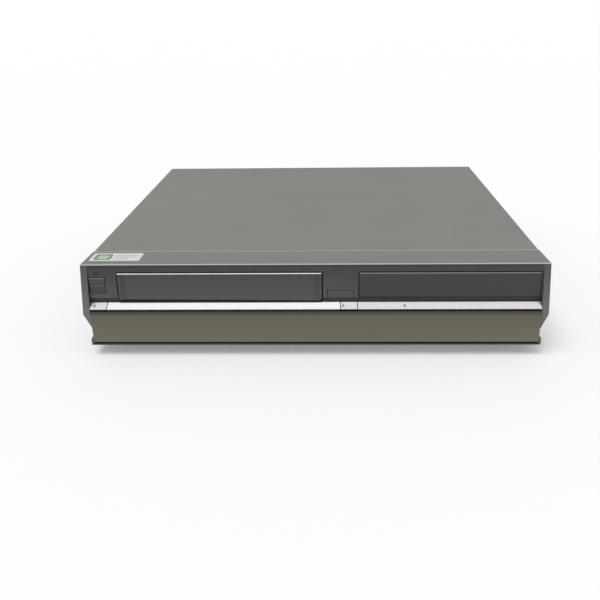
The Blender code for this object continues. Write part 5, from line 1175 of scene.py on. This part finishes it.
def standing(name, axis):
    """The middle of a node's low end along an axis."""
    low, _, place = box(name)
    index = axis.index(1)
    place[index] = low[index]
    return place


def turned_pieces():
    """Round inner pieces with their true edges, dishes and bores."""
    for name, (finish_name, axis, profile) in TURNED_SHAPES.items():
        stand_for(name, [turned(mm(profile), standing(name, axis), axis)], finish_name)
    for name, ending, profile, finish_name in (
            ("pinch_roller", "_bush", PINCH_BUSH, "polished_steel"),
            ("turntable", "_pad", TURNTABLE_PAD, "rubber")):
        add_on(name, ending, [turned(mm(profile), standing(name, TO_TOP), TO_TOP)], finish_name)


def drum():
    """The leaning drum: a grooved lower half cut level with the deck, and a dished upper half
    with two head windows in its rim and three screws."""
    depth = 0.05
    under = lying(rectangle(0.2, 0.2), depth,
                  (*DRUM_FOOT[:2], box("drum_base")[0][2] - depth), MM)
    stand_for("drum_base", [turned(mm(LOWER_DRUM), DRUM_FOOT, DRUM_AXIS, WIDE_STEPS)],
              "drum_metal", [[under]])
    first, second, third = axes_about(DRUM_AXIS)
    centre = DRUM_FOOT + third * DRUM_SPLIT
    windows = [slab(rectangle(0.006, 0.0030), 0.004,
                    centre + side * first * HEAD_WINDOW_RADIUS + third * 0.0008, side * second,
                    third, 0.0001) for side in (-1, 1)]
    stand_for("head_drum", [turned(mm(UPPER_DRUM), centre, DRUM_AXIS, WIDE_STEPS)],
              "drum_metal", [windows])
    for number in range(DRUM_SCREWS):
        angle = number * math.tau / DRUM_SCREWS
        place = centre + third * 0.0142 + 0.018 * (math.cos(angle) * first
                                                   + math.sin(angle) * second)
        screw(f"drum_screw_{number + 1}", 0.0024, 0.0012, place, DRUM_AXIS,
              BODY_OF["head_drum"])


def guide_posts():
    """Four turned tape guides beside the drum."""
    add("tape_guides", [turned(mm(GUIDE_POST), (x, y, DECK_TOP), TO_TOP, SMALL_STEPS)
                        for x, y in mm(POST_PLACES)], "polished_steel", "steel")


def toothed_ring(centre):
    """A flat ring round a bore: its outline has two points at the tip and two at the root of
    each tooth, in turn, and is eased at both faces."""
    count = REEL_TEETH * 4
    radius = np.tile([REEL_TIP, REEL_TIP, REEL_ROOT, REEL_ROOT], REEL_TEETH)
    outer = eased(polygon(count, 1) * radius[:, None], 0, REEL_PLATE, 0.0001)
    hole = polygon(count, REEL_BORE)
    return looped(np.concatenate([outer, [at_height(hole, REEL_PLATE), at_height(hole, 0)]])
                  + centre)


def reels():
    """Toothed reel tables, each with a finned hub."""
    for name in ("supply_reel", "takeup_reel"):
        centre = standing(name, TO_TOP)
        solids = [toothed_ring(centre), turned(mm(REEL_HUB), centre, TO_TOP)]
        place = centre + (0, 0, REEL_PLATE - 0.0002)
        for x, y in polygon(REEL_FINS, 1):
            solids.append(slab(rectangle(0.0030, 0.0016, (0.0085, 0)), 0.0082, place, (x, y, 0),
                               (-y, x, 0), PLAIN_EDGE))
        stand_for(name, solids, "grey_plastic")


def sheet_pieces():
    """The carriage with slots in its top, and the sound head as a soft-cornered block."""
    _, high, (x, _, _) = box("cassette_carriage")
    slot = filleted(rectangle(0.150, 0.005), 0.0024)
    reshaped("cassette_carriage", "polished_steel", FINE_EDGE,
             [lying(slot, 0.004, (x, y, high[2] - 0.0025), 0.0001) for y in CARRIAGE_SLOTS])
    low, high, (x, y, _) = box("audio_control_head")
    width, depth, height = high - low
    block = lying(filleted(rectangle(width, depth), 0.0022), height, (x, y, low[2]), SOFT_EDGE)
    stand_for("audio_control_head", [block], "polished_steel")


def boards():
    """The two circuit boards with their screws."""
    for name in ("main_board", "power_supply_board"):
        low, high, middle = box(name)
        width, depth, _ = high - low
        plate = lying(rectangle(width, depth), BOARD_TOP - low[2], (*middle[:2], low[2]), 0.0001)
        stand_for(name, [plate], "board_green")
        across = (low[0] + BOARD_SCREW_INSET, high[0] - BOARD_SCREW_INSET)
        along = (low[1] + BOARD_SCREW_INSET, high[1] - BOARD_SCREW_INSET)
        for number, (x, y) in enumerate(((x, y) for y in along for x in across), start=1):
            screw(f"{name}_screw_{number}", 0.0028, 0.0012, (x, y, BOARD_TOP), TO_TOP)


def board_parts():
    """Chips, connectors, cans with their lids, and a finned heat sink on the boards."""
    for label, items, finish_name, slot in (
            ("board_chips", CHIPS, "key_black", "black_plastic"),
            ("board_connectors", CONNECTORS, "label_white", "grey_plastic")):
        add(label, [lying(rectangle(width, depth), height, (x, y, BOARD_TOP), PLAIN_EDGE)
                    for x, y, width, depth, height in mm(items)], finish_name, slot)
    sleeves, lids = [], []
    for x, y, r, h in CANS:
        sleeve = [(0, 0), (r, 0), (r, 1.2), (r - 0.4, 1.6), (r, 2), (r, h), (r - 0.8, h + 0.3),
                  (0, h + 0.3)]
        lid = [(0, h), (r - 0.9, h), (r - 0.9, h + 0.35), (0, h + 0.35)]
        for shapes, profile in ((sleeves, sleeve), (lids, lid)):
            shapes.append(turned(mm(profile), (x * MM, y * MM, BOARD_TOP), TO_TOP, SMALL_STEPS))
    add("board_cans", sleeves, "can_sleeve", "black_plastic")
    add("board_can_lids", lids, "polished_steel", "steel")
    fins = [lying(rectangle(0.030, 0.003), SINK_HEIGHT,
                  ((SINK_X + 15) * MM, (SINK_Y + 1.5) * MM, BOARD_TOP), PLAIN_EDGE)]
    fins += [lying(rectangle(0.0009, 0.012), SINK_HEIGHT,
                   ((SINK_X + 0.5 + SINK_PITCH * number) * MM, (SINK_Y + 8.5) * MM, BOARD_TOP),
                   FINE_EDGE) for number in range(SINK_FINS)]
    add("heat_sink", fins, "polished_steel", "steel")


def wound_transformer():
    """The transformer, its winding in amber tape."""
    low, high, middle = box("transformer")
    reach = (high[1] - low[1]) / 2 - WINDING_DEPTH
    paint_faces(reshaped("transformer", "zinc_sheet", PLAIN_EDGE), "tape_amber",
                lambda x, y, *others: (np.abs(y - middle[1]) > reach)
                & (np.abs(x - middle[0]) < WINDING_HALF))


def flat_cable(name, path, left, right):
    """A flat cable: a smoothed (y, z) path in millimetres, made thick and carried across."""
    way = filleted(mm(path), 0.006, closed=False)
    way = way[np.append(True, np.linalg.norm(np.diff(way, axis=0), axis=1) > MERGE)]
    along = np.gradient(way, axis=0)
    square = np.stack([-along[:, 1], along[:, 0]], axis=1)
    square *= 0.00015 / np.linalg.norm(square, axis=1)[:, None]
    outline = np.concatenate([way + square, (way - square)[::-1]])
    add(name, [bar_along_x(outline, left, right, 0.00005)], "cable_pale", "grey_plastic")


def tray():
    """The disc tray with a smaller seat sunk inside the first one."""
    x = box("disc_tray")[2][0]
    seat = turned(mm(SMALL_SEAT), (x, DISC_CENTRE_Y, SMALL_SEAT_Z), TO_TOP, WIDE_STEPS)
    reshaped("disc_tray", "black_plastic", SOFT_EDGE, [seat])


def pickup():
    """The pickup sled with its black turret, and a small dome for its lens."""
    _, high, (x, y, _) = box("optical_pickup")
    top = high[2]
    sled = reshaped("optical_pickup", "grey_plastic", PLAIN_EDGE)
    paint_faces(sled, "key_black", lambda x, y, z, *normal: z > top - 0.0034)
    angle = np.linspace(0, math.pi / 2, DOME_STEPS)
    dome = np.stack([0.0035 * np.cos(angle), 0.0006 * np.sin(angle)], axis=1)
    profile = np.concatenate([[(0, -0.0002), (0.0035, -0.0002)], dome])
    add("pickup_lens", [turned(profile, (x, y, top), TO_TOP, SMALL_STEPS)], "lens_glass",
        "smoked_window", "pickup")


def cables():
    """Two flat cables from the boards, to the deck and to the disc drive."""
    flat_cable("deck_cable", DECK_CABLE, -0.159, -0.141)
    flat_cable("drive_cable", DRIVE_CABLE, 0.088, 0.104)


# ---- floor, light and camera


FLOOR_REACH = 30.0
FLOOR_GLOW = 0.22
SKY_LIGHT = 0.55
LAMP_POWER = 1.35
LAMP_HEADING = (0.22, 0.20, -0.95)


def seen_directly(tree):
    """One where a ray comes from the camera, a reflection or clear glass, else nought."""
    path = node(tree, "LightPath").outputs
    first = maths(tree, "ADD", path["Is Camera Ray"], path["Is Glossy Ray"])
    return maths(tree, "ADD", first, path["Is Transmission Ray"], clamp=True)


def floor():
    """A wide pale floor that looks white where it is lit and keeps the shadow."""
    mesh = bpy.data.meshes.new("floor")
    corners = at_height(rectangle(2 * FLOOR_REACH, 2 * FLOOR_REACH), 0)
    mesh.from_pydata(corners.tolist(), [], [(0, 1, 2, 3)])
    material = bpy.data.materials.new("floor_white")
    material.use_nodes = True
    tree = material.node_tree
    shader = tree.nodes["Principled BSDF"]
    for label, value in (("Base Color", (0.80, 0.80, 0.80, 1)), ("Roughness", 0.9),
                         ("Specular IOR Level", 0.1), ("Emission Color", (1, 1, 1, 1))):
        shader.inputs[label].default_value = value
    tree.links.new(maths(tree, "MULTIPLY", seen_directly(tree), FLOOR_GLOW),
                   shader.inputs["Emission Strength"])
    mesh.materials.append(material)
    piece = bpy.data.objects.new("floor", mesh)
    bpy.context.scene.collection.objects.link(piece)


def light():
    """An even pale sky and one very soft lamp from above, behind and to the left."""
    world = bpy.data.worlds.new("sky")
    bpy.context.scene.world = world
    world.use_nodes = True
    tree = world.node_tree
    back = tree.nodes["Background"]
    back.inputs["Color"].default_value = (1, 1, 1, 1)
    tree.links.new(ranged(tree, seen_directly(tree), 0.0, 1.0, SKY_LIGHT, 1.0),
                   back.inputs["Strength"])
    lamp = bpy.data.lights.new("soft_lamp", "SUN")
    lamp.energy = LAMP_POWER
    lamp.angle = math.radians(35)
    piece = bpy.data.objects.new("soft_lamp", lamp)
    piece.rotation_euler = Vector(LAMP_HEADING).to_track_quat("-Z", "Y").to_euler()
    piece.visible_glossy = False
    bpy.context.scene.collection.objects.link(piece)


def camera():
    """The camera, turned by the pitch, yaw and roll that fit the photograph's lines."""
    pitch, yaw, roll = CAMERA_PITCH, CAMERA_YAW, CAMERA_ROLL
    ahead = np.array([math.sin(yaw) * math.cos(pitch), math.cos(yaw) * math.cos(pitch),
                      -math.sin(pitch)])
    level = np.array([math.cos(yaw), -math.sin(yaw), 0])
    down = np.cross(ahead, level)
    right = math.cos(roll) * level + math.sin(roll) * down
    below = -math.sin(roll) * level + math.cos(roll) * down
    data = bpy.data.cameras.new("camera")
    data.lens = CAMERA_LENS
    data.shift_x, data.shift_y = CAMERA_SHIFT
    piece = bpy.data.objects.new("camera", data)
    turn = Matrix((right, -below, -ahead)).transposed().to_4x4()
    piece.matrix_world = Matrix.Translation(CAMERA_PLACE) @ turn
    bpy.context.scene.collection.objects.link(piece)
    bpy.context.scene.camera = piece


for make in (bezel, bright_strip, flap, tray_and_power, front_label, keys, front_jacks, cover,
             screws, feet, rear_jacks, aerial_sockets, inlet_and_plate, chassis_ribs,
             turned_pieces, drum, guide_posts, reels, sheet_pieces, boards, board_parts,
             wound_transformer, cables, tray, pickup, plain_nodes, floor, light, camera):
    make()
bpy.context.scene.view_settings.view_transform = "Standard"
bpy.context.view_layer.update()
